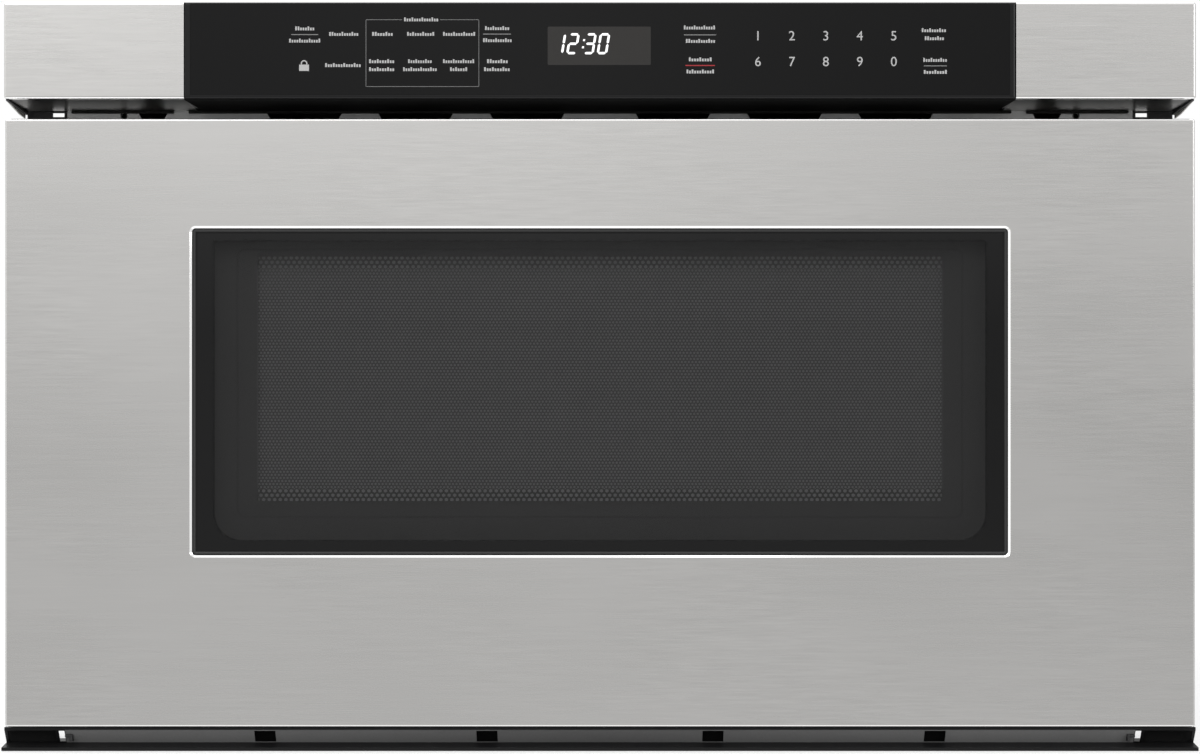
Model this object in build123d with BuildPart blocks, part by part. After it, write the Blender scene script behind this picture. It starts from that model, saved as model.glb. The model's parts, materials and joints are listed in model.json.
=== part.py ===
"""A built-in microwave drawer, closed. Millimetres, +X right, +Y back, +Z up.

The origin is on the cabinet floor, at the middle of the width and of the depth.
The drawer slides out towards -Y. Pairs are named as the user sees them: left is -X.
"""
from build123d import *
from math import acos, cos, pi, radians, sin, tan
import os

os.makedirs("parts", exist_ok=True)

# ---- overall sizes ----
front_width = 608.6
overall_depth = 594.0
chassis_height = 374.0
front_depth = 37.0  # what stands in front of the cabinet's face
front_overlap = 25.3  # the front beyond the chassis, at each side
front_over_top = 6.8  # the control strip above the chassis
gland_reach = 12.0  # the cord gland's nose behind the rear panel

trim_height = 11.3
trim_gap = 0.8  # between the bottom trim and the drawer front
door_inset = 1.7  # the drawer front's ends, inside the bottom trim's
strip_inset = 1.1
strip_height = 49.3
finger_gap = 10.0  # between the drawer front and the control strip

# ---- sheet and running clearances ----
sheet = 1.2
cavity_sheet = 1.0
frame_sheet = 1.5
flange_width = 15.0  # folded edges of the chassis panels
fit = 0.05  # radial clearance of a turning shaft in its bore
rest_gap = 0.3  # between pieces that move past one another
seat_gap = 0.2  # round a fixed boss in its hole
screw_radius = 1.9
screw_hole = 2.0
screw_head_radius = 3.6
screw_head_height = 1.5
screw_length = 7.0

# ---- the cavity and the tub in it ----
side_space = 50.0  # between the cavity and the chassis' sides
roof_space = 102.0  # above the cavity, for the waveguide and the boards
rear_space = 113.0  # behind the cavity, for the magnetron, the transformer and the fan
cavity_low = 82.0
tub_side_gap = 5.0
tub_floor_gap = 4.0
tub_rear_gap = 8.0
tub_top_gap = 32.0
travel_stop = 50.5  # the tub's length that stays inside when the drawer is out
tub_flange = 14.0
tray_thickness = 6.0
tray_margin = 8.0
tray_corner = 18.0
tray_edge = 1.5

# ---- places that follow ----
front_y = -overall_depth / 2
rear_y = overall_depth / 2 - gland_reach
frame_y = front_y + front_depth
frame_back = frame_y + frame_sheet
wing_back = frame_back + frame_sheet
half_front = front_width / 2
chassis_width = front_width - 2 * front_overlap
half_chassis = chassis_width / 2
strip_width = front_width - 2 * strip_inset
strip_top = chassis_height + front_over_top
strip_low = strip_top - strip_height
door_width = front_width - 2 * door_inset
door_top = strip_low - finger_gap
door_low = trim_height + trim_gap
cavity_width = chassis_width - 2 * side_space
half_cavity = cavity_width / 2
cavity_top = chassis_height - roof_space
cavity_rear = rear_y - rear_space
roof_top = cavity_top + cavity_sheet
drawer_travel = cavity_rear - frame_back - travel_stop
door_gap = 0.8  # from the shut drawer front to the frame
door_back = frame_y - door_gap

SIDES = (("left", -1), ("right", 1))


def block(x, y, z, mode=Mode.ADD):
    """A box between three (low, high) pairs."""
    with Locations(((x[0] + x[1]) / 2, (y[0] + y[1]) / 2, (z[0] + z[1]) / 2)):
        Box(x[1] - x[0], y[1] - y[0], z[1] - z[0], mode=mode)


def mirrored(sign, near, far):
    """The X span between two distances from the centre plane, on one side of it."""
    return (near, far) if sign > 0 else (-far, -near)


def around(middle, width):
    """The (low, high) pair of a width about its middle."""
    return (middle - width / 2, middle + width / 2)


def upright(x, y, z, radius, mode=Mode.ADD):
    """A cylinder along Z."""
    with Locations((x, y, (z[0] + z[1]) / 2)):
        Cylinder(radius, z[1] - z[0], mode=mode)


def along_y(x, y, z, radius, mode=Mode.ADD):
    """A cylinder along Y."""
    with Locations(Location((x, (y[0] + y[1]) / 2, z), (90, 0, 0))):
        Cylinder(radius, y[1] - y[0], mode=mode)


def along_x(x, y, z, radius, mode=Mode.ADD):
    """A cylinder along X."""
    with Locations(Location(((x[0] + x[1]) / 2, y, z), (0, 90, 0))):
        Cylinder(radius, x[1] - x[0], mode=mode)


# ================= chassis: panels =================

flange_outer = half_chassis - sheet
flange_front = wing_back + 8.0
flange_rear = rear_y - sheet
side_screw_ys = (flange_front + 50.0, 0.0, flange_rear - 60.0)
side_screw_zs = (sheet + flange_width / 2, chassis_height - sheet - flange_width / 2)
rear_flange_clear = 4.0
rear_screw_y = flange_rear - flange_width / 2
rear_screw_zs = (chassis_height * 0.27, chassis_height * 0.75)
side_screw_spots = [(y, z) for y in side_screw_ys for z in side_screw_zs]
side_screw_spots += [(rear_screw_y, z) for z in rear_screw_zs]


def drill_side_screws(spots, sign, x_near):
    for y, z in spots:
        along_x(mirrored(sign, x_near, half_chassis), y, z, screw_hole, Mode.SUBTRACT)


def side_flanges(z):
    """The folded edges of a panel, just inside both side panels, drilled for their screws."""
    for _, sign in SIDES:
        block(mirrored(sign, flange_outer - sheet, flange_outer), (flange_front, flange_rear), z)
        drill_side_screws(side_screw_spots[:6], sign, flange_outer - sheet)


with BuildPart() as base_plate:
    block((-half_chassis, half_chassis), (frame_back, rear_y), (0, sheet))
    side_flanges((sheet, sheet + flange_width))
base_plate.part.label = "base_plate"
export_step(base_plate.part, "parts/base_plate.step")

with BuildPart() as top_cover:
    block(
        (-half_chassis, half_chassis),
        (frame_back, rear_y),
        (chassis_height - sheet, chassis_height),
    )
    side_flanges((chassis_height - sheet - flange_width, chassis_height - sheet))
top_cover.part.label = "top_cover"
export_step(top_cover.part, "parts/top_cover.step")

louvre_length = 5.0
louvre_height = 60.0
louvre_pitch = 13.0
louvre_count = 9
louvre_y = rear_y - 75.0
louvre_z = 90.0

with BuildPart() as side_panels:
    for _, sign in SIDES:
        panel_x = mirrored(sign, flange_outer, half_chassis)
        block(panel_x, (wing_back, rear_y), (sheet, chassis_height - sheet))
        drill_side_screws(side_screw_spots, sign, flange_outer)
        for i in range(louvre_count):
            block(
                panel_x,
                around(louvre_y + (i - (louvre_count - 1) / 2) * louvre_pitch, louvre_length),
                around(louvre_z, louvre_height),
                Mode.SUBTRACT,
            )
side_panels.part.label = "side_panels"
export_step(side_panels.part, "parts/side_panels.step")

# ---- cooling fan: its place sets the grille in the rear panel ----
fan_size = 120.0
fan_depth = 38.0
fan_x = half_chassis - 119.0
fan_rear_gap = 6.0
fan_z = sheet + fan_size / 2
fan_rear = rear_y - sheet - fan_rear_gap
fan_front = fan_rear - fan_depth
fan_bore = 57.5
fan_tip_gap = 1.5
fan_hub_radius = 21.0
fan_shaft_radius = 3.0
fan_stator_depth = 10.0

grille_hole = 3.0
grille_pitch = 9.0
grille_rings = 6

gland_x = 54.0 - half_chassis
gland_z = chassis_height - 44.0
gland_body_radius = 9.0
gland_flange_radius = 14.0
gland_bore = 4.0
gland_inside = 14.0

with BuildPart() as rear_panel:
    block(
        (-flange_outer, flange_outer),
        (flange_rear, rear_y),
        (sheet, chassis_height - sheet),
    )
    for _, sign in SIDES:
        block(
            mirrored(sign, flange_outer - sheet, flange_outer),
            (flange_rear - flange_width, flange_rear),
            (
                sheet + flange_width + rear_flange_clear,
                chassis_height - sheet - flange_width - rear_flange_clear,
            ),
        )
        drill_side_screws(side_screw_spots[6:], sign, flange_outer - sheet)
    for ring in range(grille_rings):
        holes = max(1, ring * 6)
        for i in range(holes):
            angle = 2 * pi * i / holes
            along_y(
                fan_x + ring * grille_pitch * cos(angle),
                (flange_rear, rear_y),
                fan_z + ring * grille_pitch * sin(angle),
                grille_hole,
                Mode.SUBTRACT,
            )
    along_y(gland_x, (flange_rear, rear_y), gland_z, gland_body_radius + seat_gap, Mode.SUBTRACT)
rear_panel.part.label = "rear_panel"
export_step(rear_panel.part, "parts/rear_panel.step")

gland_flange_thickness = 3.0
with BuildPart() as cord_gland:
    along_y(gland_x, (flange_rear - gland_inside, rear_y), gland_z, gland_body_radius)
    along_y(gland_x, (rear_y, rear_y + gland_flange_thickness), gland_z, gland_flange_radius)
    with BuildSketch(Plane.XZ.offset(-rear_y - gland_flange_thickness)):
        with Locations((gland_x, gland_z)):
            Circle(gland_body_radius)
    extrude(amount=-(gland_reach - gland_flange_thickness), taper=8)
    along_y(
        gland_x,
        (flange_rear - gland_inside, rear_y + gland_reach),
        gland_z,
        gland_bore,
        Mode.SUBTRACT,
    )
cord_gland.part.label = "cord_gland"
export_step(cord_gland.part, "parts/cord_gland.step")

with BuildPart() as chassis_screws:
    for _, sign in SIDES:
        for y, z in side_screw_spots:
            along_x(
                mirrored(sign, half_chassis, half_chassis + screw_head_height),
                y,
                z,
                screw_head_radius,
            )
            along_x(mirrored(sign, half_chassis - screw_length, half_chassis), y, z, screw_radius)
chassis_screws.part.label = "chassis_screws"
export_step(chassis_screws.part, "parts/chassis_screws.step")

# ================= chassis: telescopic slides =================
# Each slide has three nested channels and two ball cages. Distances called "in" are from the
# outer member's web towards the middle of the oven.

slide_middle = 31.0  # height of the slides' centre line
slide_height = 36.0
slide_sheet = 1.5
slide_web = half_chassis - 41.0  # outer face of the outer member's web
slide_front = frame_back + 2.5
slide_rear = cavity_rear + 12.0
outer_reach = 12.7
middle_in = 2.7
middle_reach = 8.3
inner_in = 6.0
inner_web_in = 11.7
ball_radius = 1.5
ball_clearance = 0.08
ball_space = 2 * (ball_radius + ball_clearance)
middle_height = slide_height - 2 * slide_sheet - 2 * ball_space
inner_height = middle_height - 2 * slide_sheet - 2 * ball_space
slide_foot = 16.0
inner_face = slide_web - inner_web_in - slide_sheet  # the inner member's face to the carriage


def channel(sign, web_x, reach, height, y):
    """A channel on its side. reach is towards the middle of the oven, or away if negative."""
    low, high = around(slide_middle, height)
    edge = web_x - reach
    near, far = min(web_x, edge), max(web_x, edge)
    block(mirrored(sign, near, far), y, (low, high))
    if reach > 0:
        far -= slide_sheet
    else:
        near += slide_sheet
    block(mirrored(sign, near, far), y, (low + slide_sheet, high - slide_sheet), Mode.SUBTRACT)


with BuildPart() as rail_outer_members:
    for _, sign in SIDES:
        channel(sign, slide_web, outer_reach, slide_height, (slide_front, slide_rear))
        bracket_top = slide_middle + slide_height / 2
        block(
            mirrored(sign, slide_web, slide_web + slide_sheet),
            (slide_front, slide_rear),
            (sheet, bracket_top),
        )
        block(
            mirrored(sign, slide_web, slide_web + slide_foot),
            (slide_front, slide_rear),
            (sheet, sheet + slide_sheet),
        )
rail_outer_members.part.label = "rail_outer_members"
export_step(rail_outer_members.part, "parts/rail_outer_members.step")

for side, sign in SIDES:
    with BuildPart() as rail_middle:
        channel(
            sign, slide_web - middle_in, middle_reach, middle_height, (slide_front, slide_rear)
        )
    rail_middle.part.label = f"rail_middle_{side}"
    export_step(rail_middle.part, f"parts/rail_middle_{side}.step")

with BuildPart() as rail_inner_members:
    for _, sign in SIDES:
        channel(
            sign,
            inner_face,
            -(inner_web_in + slide_sheet - inner_in),
            inner_height,
            (slide_front, slide_rear),
        )
rail_inner_members.part.label = "rail_inner_members"
export_step(rail_inner_members.part, "parts/rail_inner_members.step")

# Ball cages: a strip that wraps the inner side of each ball gap, with balls in its holes.
cage_length = 200.0
cage_sheet = 0.7
cage_front = slide_front + 100.0
cage_balls = 6
cage_hole = ball_radius + 0.15


def ball_cages(web_x, arm_reach, ball_x, member_height):
    """The left and right cages that run over a member of the given height."""
    outer = member_height + ball_space  # between the centres of the two rows of balls
    for _, sign in SIDES:
        y = (cage_front, cage_front + cage_length)
        low, high = around(slide_middle, outer + cage_sheet)
        block(mirrored(sign, web_x - arm_reach, web_x), y, (low, high))
        block(
            mirrored(sign, web_x - arm_reach, web_x - cage_sheet),
            y,
            (low + cage_sheet, high - cage_sheet),
            Mode.SUBTRACT,
        )
        spots = [
            (sign * ball_x, y[0] + (i + 0.5) * cage_length / cage_balls, row)
            for i in range(cage_balls)
            for row in around(slide_middle, outer)
        ]
        for x_ball, y_ball, z_ball in spots:
            upright(x_ball, y_ball, around(z_ball, 2 * cage_sheet), cage_hole, Mode.SUBTRACT)
        with Locations(*spots):
            Sphere(ball_radius)


with BuildPart() as ball_cages_outer:
    ball_cages(
        slide_web - slide_sheet - rest_gap,
        middle_in + middle_reach - slide_sheet - rest_gap,
        slide_web - middle_in - middle_reach / 2,
        middle_height,
    )
ball_cages_outer.part.label = "ball_cages_outer"
export_step(ball_cages_outer.part, "parts/ball_cages_outer.step")

inner_ball_x = (slide_web - inner_in + slide_web - middle_in - middle_reach) / 2
with BuildPart() as ball_cages_inner:
    ball_cages(
        slide_web - middle_in - slide_sheet - rest_gap,
        middle_reach - slide_sheet - rest_gap,
        inner_ball_x,
        inner_height,
    )
ball_cages_inner.part.label = "ball_cages_inner"
export_step(ball_cages_inner.part, "parts/ball_cages_inner.step")

# ================= drive: rack, pinion and gear motor =================

gear_module = 1.5
pinion_teeth = 18
pressure_angle = radians(20)
backlash = 0.2
pinion_radius = gear_module * pinion_teeth / 2
pinion_x = 82.0
pinion_y = frame_back + 43.5
rack_bottom = 28.0
rack_height = 12.0
rack_back = 58.0
rack_end_margin = 24.0
pinion_bottom = rack_bottom + 1.0
pinion_height = rack_height - 2.5
pinion_shaft_radius = 4.0
gearbox_top = rack_bottom - 2.0
gearbox_floor = 6.0
gearbox_width = 48.0
gearbox_depth = 60.0
motor_radius = 17.0
motor_length = 70.0
motor_x = pinion_x + 14.0

tooth_pitch = pi * gear_module
tooth_width = tooth_pitch / 2 - backlash / 2
rack_line = pinion_x - pinion_radius
rack_top = rack_bottom + rack_height

with BuildPart() as drive_motor:
    block(
        around(pinion_x, gearbox_width),
        around(pinion_y, gearbox_depth),
        (sheet, gearbox_top),
    )
    upright(pinion_x, pinion_y, (gearbox_floor, gearbox_top), pinion_shaft_radius + fit, Mode.SUBTRACT)
    motor_front = pinion_y + gearbox_depth / 2
    along_y(motor_x, (motor_front, motor_front + motor_length), sheet + motor_radius, motor_radius)
    block(
        around(motor_x, motor_radius),
        (motor_front, motor_front + motor_length),
        (sheet, sheet + motor_radius / 2),
    )
drive_motor.part.label = "drive_motor"
export_step(drive_motor.part, "parts/drive_motor.step")


def involute(angle):
    return tan(angle) - angle


def flank_angle(radius):
    """Half the angle that a pinion tooth spans at a radius."""
    base = pinion_radius * cos(pressure_angle)
    turned = involute(acos(min(1.0, base / radius)))
    return tooth_width / (2 * pinion_radius) + involute(pressure_angle) - turned


def polar(radius, angle):
    return (pinion_x + radius * cos(angle), pinion_y + radius * sin(angle))


with BuildPart() as drive_pinion:
    base_radius = pinion_radius * cos(pressure_angle)
    tip_radius = pinion_radius + gear_module
    root_radius = pinion_radius - 1.25 * gear_module
    flank_middle = (base_radius + tip_radius) / 2
    with BuildSketch(Plane.XY.offset(pinion_bottom)):
        with BuildLine():
            for tooth in range(pinion_teeth):
                middle = pi + 2 * pi * tooth / pinion_teeth
                half = {r: flank_angle(r) for r in (base_radius, flank_middle, tip_radius)}
                next_root = middle + 2 * pi / pinion_teeth - half[base_radius]
                root_middle = middle + pi / pinion_teeth
                Line(
                    polar(root_radius, middle - half[base_radius]),
                    polar(base_radius, middle - half[base_radius]),
                )
                ThreePointArc(*[polar(r, middle - half[r]) for r in half])
                ThreePointArc(
                    polar(tip_radius, middle - half[tip_radius]),
                    polar(tip_radius, middle),
                    polar(tip_radius, middle + half[tip_radius]),
                )
                ThreePointArc(*[polar(r, middle + half[r]) for r in reversed(half)])
                Line(
                    polar(base_radius, middle + half[base_radius]),
                    polar(root_radius, middle + half[base_radius]),
                )
                ThreePointArc(
                    polar(root_radius, middle + half[base_radius]),
                    polar(root_radius, root_middle),
                    polar(root_radius, next_root),
                )
        make_face()
    extrude(amount=pinion_height)
    upright(
        pinion_x,
        pinion_y,
        (gearbox_floor + rest_gap, pinion_bottom),
        pinion_shaft_radius,
    )
drive_pinion.part.label = "drive_pinion"
export_step(drive_pinion.part, "parts/drive_pinion.step")

# ================= drawer: front =================

skin = 1.2
pan_depth = 35.0
edge_radius = 1.3
window_side = 95.0  # steel beside, below and above the window
window_below = 87.3
window_above = 55.7
window_corner = 2.0
rim_width = 1.1  # the polished slope round the window, across and deep
rim_depth = 0.8
glass_thickness = 4.0
glass_margin = 8.0  # the glass behind the skin, beyond the window
skin_back = front_y + skin
window_width = door_width - 2 * window_side
window_low = door_low + window_below
window_high = door_top - window_above
window_height = window_high - window_low
window_middle = (window_low + window_high) / 2

half_door = door_width / 2
door_middle = (door_low + door_top) / 2

with BuildPart() as door_skin:
    block((-half_door, half_door), (front_y, front_y + pan_depth), (door_low, door_top))
    front_edges = door_skin.edges().group_by(Axis.Y)[0]
    depth_edges = door_skin.edges().filter_by(Axis.Y)
    fillet(front_edges + depth_edges, edge_radius)
    offset(amount=-skin, openings=door_skin.faces().sort_by(Axis.Y)[-1])
    with BuildSketch(Plane.XZ.offset(-front_y)):
        with Locations((0, window_middle)):
            RectangleRounded(window_width, window_height, window_corner)
    extrude(amount=-skin, mode=Mode.SUBTRACT)
    rim = door_skin.edges().group_by(Axis.Y)[0]
    rim = [e for e in rim if abs(e.center().X) < window_width / 2 + 1]
    rim = [e for e in rim if abs(e.center().Z - window_middle) < window_height / 2 + 1]
    front_face = door_skin.faces().sort_by(Axis.Y)[0]
    chamfer(rim, rim_width, rim_depth, reference=front_face)
door_skin.part.label = "door_skin"
export_step(door_skin.part, "parts/door_skin.step")

with BuildPart() as window_glass:
    block(
        around(0, window_width + 2 * glass_margin),
        (skin_back, skin_back + glass_thickness),
        around(window_middle, window_height + 2 * glass_margin),
    )
    fillet(window_glass.edges().filter_by(Axis.Y), 4.0)
window_glass.part.label = "window_glass"
export_step(window_glass.part, "parts/window_glass.step")

# ---- the steel frame in the front, with its choke groove round the cavity's mouth ----
web_back = front_y + 15.2
web_front = web_back - sheet
web_overlap = 1.0  # beyond the chassis, at each side
web_margin_low = 11.9
web_margin_top = 3.5
web_half = half_chassis + web_overlap
web_low = door_low + web_margin_low
web_top = door_top - web_margin_top
choke_reach = 24.0  # from the cavity's mouth to the choke's outer wall
cover_thickness = 2.0
cover_lip = 2.0
cover_front = door_back - cover_thickness
screen_side = 33.2  # from the window's edge to the perforated field
screen_below = 27.2
screen_above = 14.0
screen_width = window_width - 2 * screen_side
screen_height = window_height - screen_below - screen_above
screen_middle = window_low + screen_below + screen_height / 2
screen_margin = 22.0
screen_sheet = 1.0
screen_lap = 8.0
inner_glass_thickness = 3.0
inner_half_width = window_width / 2 - 2.1
inner_low = window_low - 0.9
inner_high = window_high - 2.3
inner_lap = 2.5
inner_span = (-inner_half_width, inner_half_width)
choke_half = half_cavity + choke_reach
choke_low = cavity_low - choke_reach
choke_high = cavity_top + choke_reach


def ring(x_half, z, y, wall):
    """A rectangular tube along Y with its outer face at x_half and z."""
    block((-x_half, x_half), y, z)
    block(
        (-x_half + wall, x_half - wall),
        y,
        (z[0] + wall, z[1] - wall),
        Mode.SUBTRACT,
    )


with BuildPart() as door_frame:
    ring(choke_half, (choke_low, choke_high), (web_back, cover_front), sheet)
    ring(
        inner_half_width + sheet + rest_gap,
        (inner_low - sheet - rest_gap, inner_high + sheet + rest_gap),
        (web_back, cover_front),
        sheet,
    )
    ring(web_half, (web_low, web_top), (skin_back, web_front), sheet)
    block((-web_half, web_half), (web_front, web_back), (web_low, web_top))
    block(
        around(0, screen_width + 2 * (screen_margin - screen_lap)),
        (web_front, web_back),
        around(screen_middle, screen_height + 2 * (screen_margin - screen_lap)),
        Mode.SUBTRACT,
    )
door_frame.part.label = "door_frame"
export_step(door_frame.part, "parts/door_frame.step")

with BuildPart() as perforated_screen:
    block(
        around(0, screen_width + 2 * screen_margin),
        (web_front - screen_sheet, web_front),
        around(screen_middle, screen_height + 2 * screen_margin),
    )
perforated_screen.part.label = "perforated_screen"
export_step(perforated_screen.part, "parts/perforated_screen.step")

with BuildPart() as inner_glass:
    block(inner_span, (cover_front - inner_glass_thickness, cover_front), (inner_low, inner_high))
inner_glass.part.label = "inner_glass"
export_step(inner_glass.part, "parts/inner_glass.step")

# ---- the tub behind the front ----
tub_half = half_cavity - tub_side_gap
tub_bottom = cavity_low + tub_floor_gap
tub_rear = cavity_rear - tub_rear_gap
tub_floor_top = tub_bottom + sheet
tub_top = cavity_top - tub_top_gap
tub_screw_x = tub_half - sheet - tub_flange / 2
tub_screw_zs = [tub_floor_top + (tub_top - tub_floor_top) * share for share in (0.2, 0.5, 0.8)]
tub_screw_spots = [(sign * tub_screw_x, z) for _, sign in SIDES for z in tub_screw_zs]

with BuildPart() as choke_cover:
    block(
        (-choke_half - cover_lip, choke_half + cover_lip),
        (cover_front, door_back),
        (choke_low - cover_lip, choke_high + cover_lip),
    )
    fillet(choke_cover.edges().filter_by(Axis.Y), 6.0)
    block(
        (inner_span[0] + inner_lap, inner_span[1] - inner_lap),
        (cover_front, door_back),
        (inner_low + inner_lap, inner_high - inner_lap),
        Mode.SUBTRACT,
    )
    for x, z in tub_screw_spots:
        along_y(x, (cover_front, door_back), z, screw_hole, Mode.SUBTRACT)
choke_cover.part.label = "choke_cover"
export_step(choke_cover.part, "parts/choke_cover.step")

with BuildPart() as tub_floor:
    block((-tub_half, tub_half), (door_back, tub_rear), (tub_bottom, tub_floor_top))
tub_floor.part.label = "tub_floor"
export_step(tub_floor.part, "parts/tub_floor.step")

with BuildPart() as tub_walls:
    for _, sign in SIDES:
        block(
            mirrored(sign, tub_half - sheet, tub_half),
            (door_back, tub_rear - sheet),
            (tub_floor_top, tub_top),
        )
        block(
            mirrored(sign, tub_half - sheet - tub_flange, tub_half - sheet),
            (door_back, door_back + sheet),
            (tub_floor_top, tub_top),
        )
    block((-tub_half, tub_half), (tub_rear - sheet, tub_rear), (tub_floor_top, tub_top))
    for x, z in tub_screw_spots:
        along_y(x, (door_back, door_back + sheet), z, screw_hole, Mode.SUBTRACT)
tub_walls.part.label = "tub_walls"
export_step(tub_walls.part, "parts/tub_walls.step")

tray_half = tub_half - sheet - tray_margin
tray_front = door_back + sheet + tray_margin
tray_rear = tub_rear - sheet - tray_margin
tray_top = tub_floor_top + tray_thickness
with BuildPart() as glass_tray:
    block((-tray_half, tray_half), (tray_front, tray_rear), (tub_floor_top, tray_top))
    fillet(glass_tray.edges().filter_by(Axis.Z), tray_corner)
    fillet(glass_tray.edges().group_by(Axis.Z)[-1], tray_edge)
glass_tray.part.label = "glass_tray"
export_step(glass_tray.part, "parts/glass_tray.step")

glide_width = 12.0
glide_length = 60.0
glide_inset = 40.0
glide_behind = 15.0  # from the tub's rear to its rear glides
glide_pitch = 210.0
with BuildPart() as tub_glides:
    for _, sign in SIDES:
        glide_x = sign * (tub_half - glide_inset)
        for glide_rear in (tub_rear - glide_behind, tub_rear - glide_behind - glide_pitch):
            block(
                around(glide_x, glide_width),
                (glide_rear - glide_length, glide_rear),
                (cavity_low + rest_gap, tub_bottom),
            )
tub_glides.part.label = "tub_glides"
export_step(tub_glides.part, "parts/tub_glides.step")

with BuildPart() as tub_screws:
    for x, z in tub_screw_spots:
        head_start = door_back + sheet
        along_y(x, (head_start, head_start + screw_head_height), z, screw_head_radius)
        along_y(x, (head_start - screw_length, head_start), z, screw_radius)
tub_screws.part.label = "tub_screws"
export_step(tub_screws.part, "parts/tub_screws.step")

# ---- carriage: two arms along the slides, joined at the rear ----
arm_thickness = 2.5
arm_low = 22.0
arm_high = 50.0
arm_foot = 26.0
cross_depth = 20.0
cross_height = 16.0
cross_top = rack_top + cross_height
arm_rear = cavity_rear
arm_inner = inner_face - arm_thickness
cross_margin = 4.0
cross_rear = arm_rear - cross_margin

with BuildPart() as carriage:
    for _, sign in SIDES:
        block(mirrored(sign, arm_inner, inner_face), (web_back, arm_rear), (arm_low, arm_high))
        block(
            mirrored(sign, inner_face - arm_foot, inner_face),
            (web_back, web_back + arm_thickness),
            (arm_low, arm_high),
        )
    block((-arm_inner, arm_inner), (cross_rear - cross_depth, cross_rear), (rack_top, cross_top))
    block(
        (-arm_inner, arm_inner),
        (cross_rear - cross_depth + sheet, cross_rear - sheet),
        (rack_top + sheet, cross_top),
        Mode.SUBTRACT,
    )
carriage.part.label = "carriage"
export_step(carriage.part, "parts/carriage.step")

rack_tooth_front = pinion_y - rack_end_margin
rack_teeth = int((drawer_travel + 2 * rack_end_margin) / tooth_pitch)
rack_root = rack_line - 1.25 * gear_module
rack_tip = rack_line + gear_module
rack_foot = 12.0
with BuildPart() as drawer_rack:
    slope = tan(pressure_angle)
    with BuildSketch(Plane.XY.offset(rack_bottom)):
        with BuildLine():
            points = [(rack_back, web_back), (rack_root, web_back)]
            first = round((rack_tooth_front - pinion_y) / tooth_pitch)
            for i in range(first, first + rack_teeth):
                tooth_y = pinion_y + (i + 0.5) * tooth_pitch
                at_root = tooth_width / 2 + 1.25 * gear_module * slope
                at_tip = tooth_width / 2 - gear_module * slope
                points += [
                    (rack_root, tooth_y - at_root),
                    (rack_tip, tooth_y - at_tip),
                    (rack_tip, tooth_y + at_tip),
                    (rack_root, tooth_y + at_root),
                ]
            rack_rear = points[-1][1] + gear_module
            points += [(rack_root, rack_rear), (rack_back, rack_rear)]
            Polyline(*points, close=True)
        make_face()
    extrude(amount=rack_height)
    block((rack_back - rack_foot, rack_back), (web_back, web_back + arm_thickness), (rack_bottom, rack_top))
drawer_rack.part.label = "drawer_rack"
export_step(drawer_rack.part, "parts/drawer_rack.step")

# ---- latch hooks on the front, and the switches that they press ----
hook_x = half_chassis - 54.0
hook_thickness = 3.0
hook_low = door_top - 22.0
hook_high = door_top - 4.0
hook_reach = 22.5  # behind the frame's back face
hook_tip = frame_back + hook_reach
hook_foot = 12.0
plunger_travel = 1.2
plunger_radius = 1.2
plunger_pressed = 1.8
plunger_gap = 0.2
switch_width = 27.8
switch_depth = 15.9
switch_height = 10.3
switch_pitch = 10.5
switch_front = hook_tip + plunger_gap + plunger_pressed
plunger_bore_depth = 5.0
switch_first = hook_low + 3.8
switch_spots = [(-hook_x, switch_first), (hook_x, switch_first), (hook_x, switch_first + switch_pitch)]

with BuildPart() as latch_hooks:
    for _, sign in SIDES:
        block(
            around(sign * hook_x, hook_thickness),
            (web_back, hook_tip),
            (hook_low, hook_high),
        )
        block(
            around(sign * hook_x, hook_thickness),
            (frame_back + 6.0, frame_back + 14.0),
            (hook_low, hook_low + 3.0),
            Mode.SUBTRACT,
        )
        block(
            mirrored(sign, hook_x - hook_foot, hook_x),
            (web_back, web_back + 2.0),
            (hook_low, hook_high),
        )
latch_hooks.part.label = "latch_hooks"
export_step(latch_hooks.part, "parts/latch_hooks.step")

with BuildPart() as interlock_switches:
    for x, z in switch_spots:
        block(
            around(x, switch_width),
            (switch_front, switch_front + switch_depth),
            around(z, switch_height),
        )
        along_y(
            x,
            (switch_front, switch_front + plunger_bore_depth),
            z,
            plunger_radius + fit,
            Mode.SUBTRACT,
        )
        for lug in (-9.0, 0.0, 9.0):
            block(
                around(x + lug, 4.0),
                (switch_front + switch_depth, switch_front + switch_depth + 7.0),
                around(z, 0.8),
            )
interlock_switches.part.label = "interlock_switches"
export_step(interlock_switches.part, "parts/interlock_switches.step")

plunger_inside = plunger_bore_depth - 0.5
with BuildPart() as switch_plungers:
    for x, z in switch_spots:
        along_y(x, (hook_tip + plunger_gap, switch_front + plunger_inside), z, plunger_radius)
switch_plungers.part.label = "switch_plungers"
export_step(switch_plungers.part, "parts/switch_plungers.step")

shelf_top = switch_first - switch_height / 2
with BuildPart() as latch_brackets:
    for _, sign in SIDES:
        shelf_x = mirrored(sign, hook_x - switch_width / 2 - sheet, hook_x + switch_width / 2)
        leg_x = mirrored(
            sign, hook_x - switch_width / 2 - sheet, hook_x - switch_width / 2
        )
        bracket_y = (switch_front, switch_front + switch_depth)
        block(shelf_x, bracket_y, (shelf_top - sheet, shelf_top))
        block(leg_x, bracket_y, (roof_top, shelf_top))
        foot_x = mirrored(sign, hook_x - switch_width / 2 - 16.0, hook_x - switch_width / 2)
        block(foot_x, bracket_y, (roof_top, roof_top + sheet))
latch_brackets.part.label = "latch_brackets"
export_step(latch_brackets.part, "parts/latch_brackets.step")

# ================= chassis: front frame and wings =================

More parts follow.
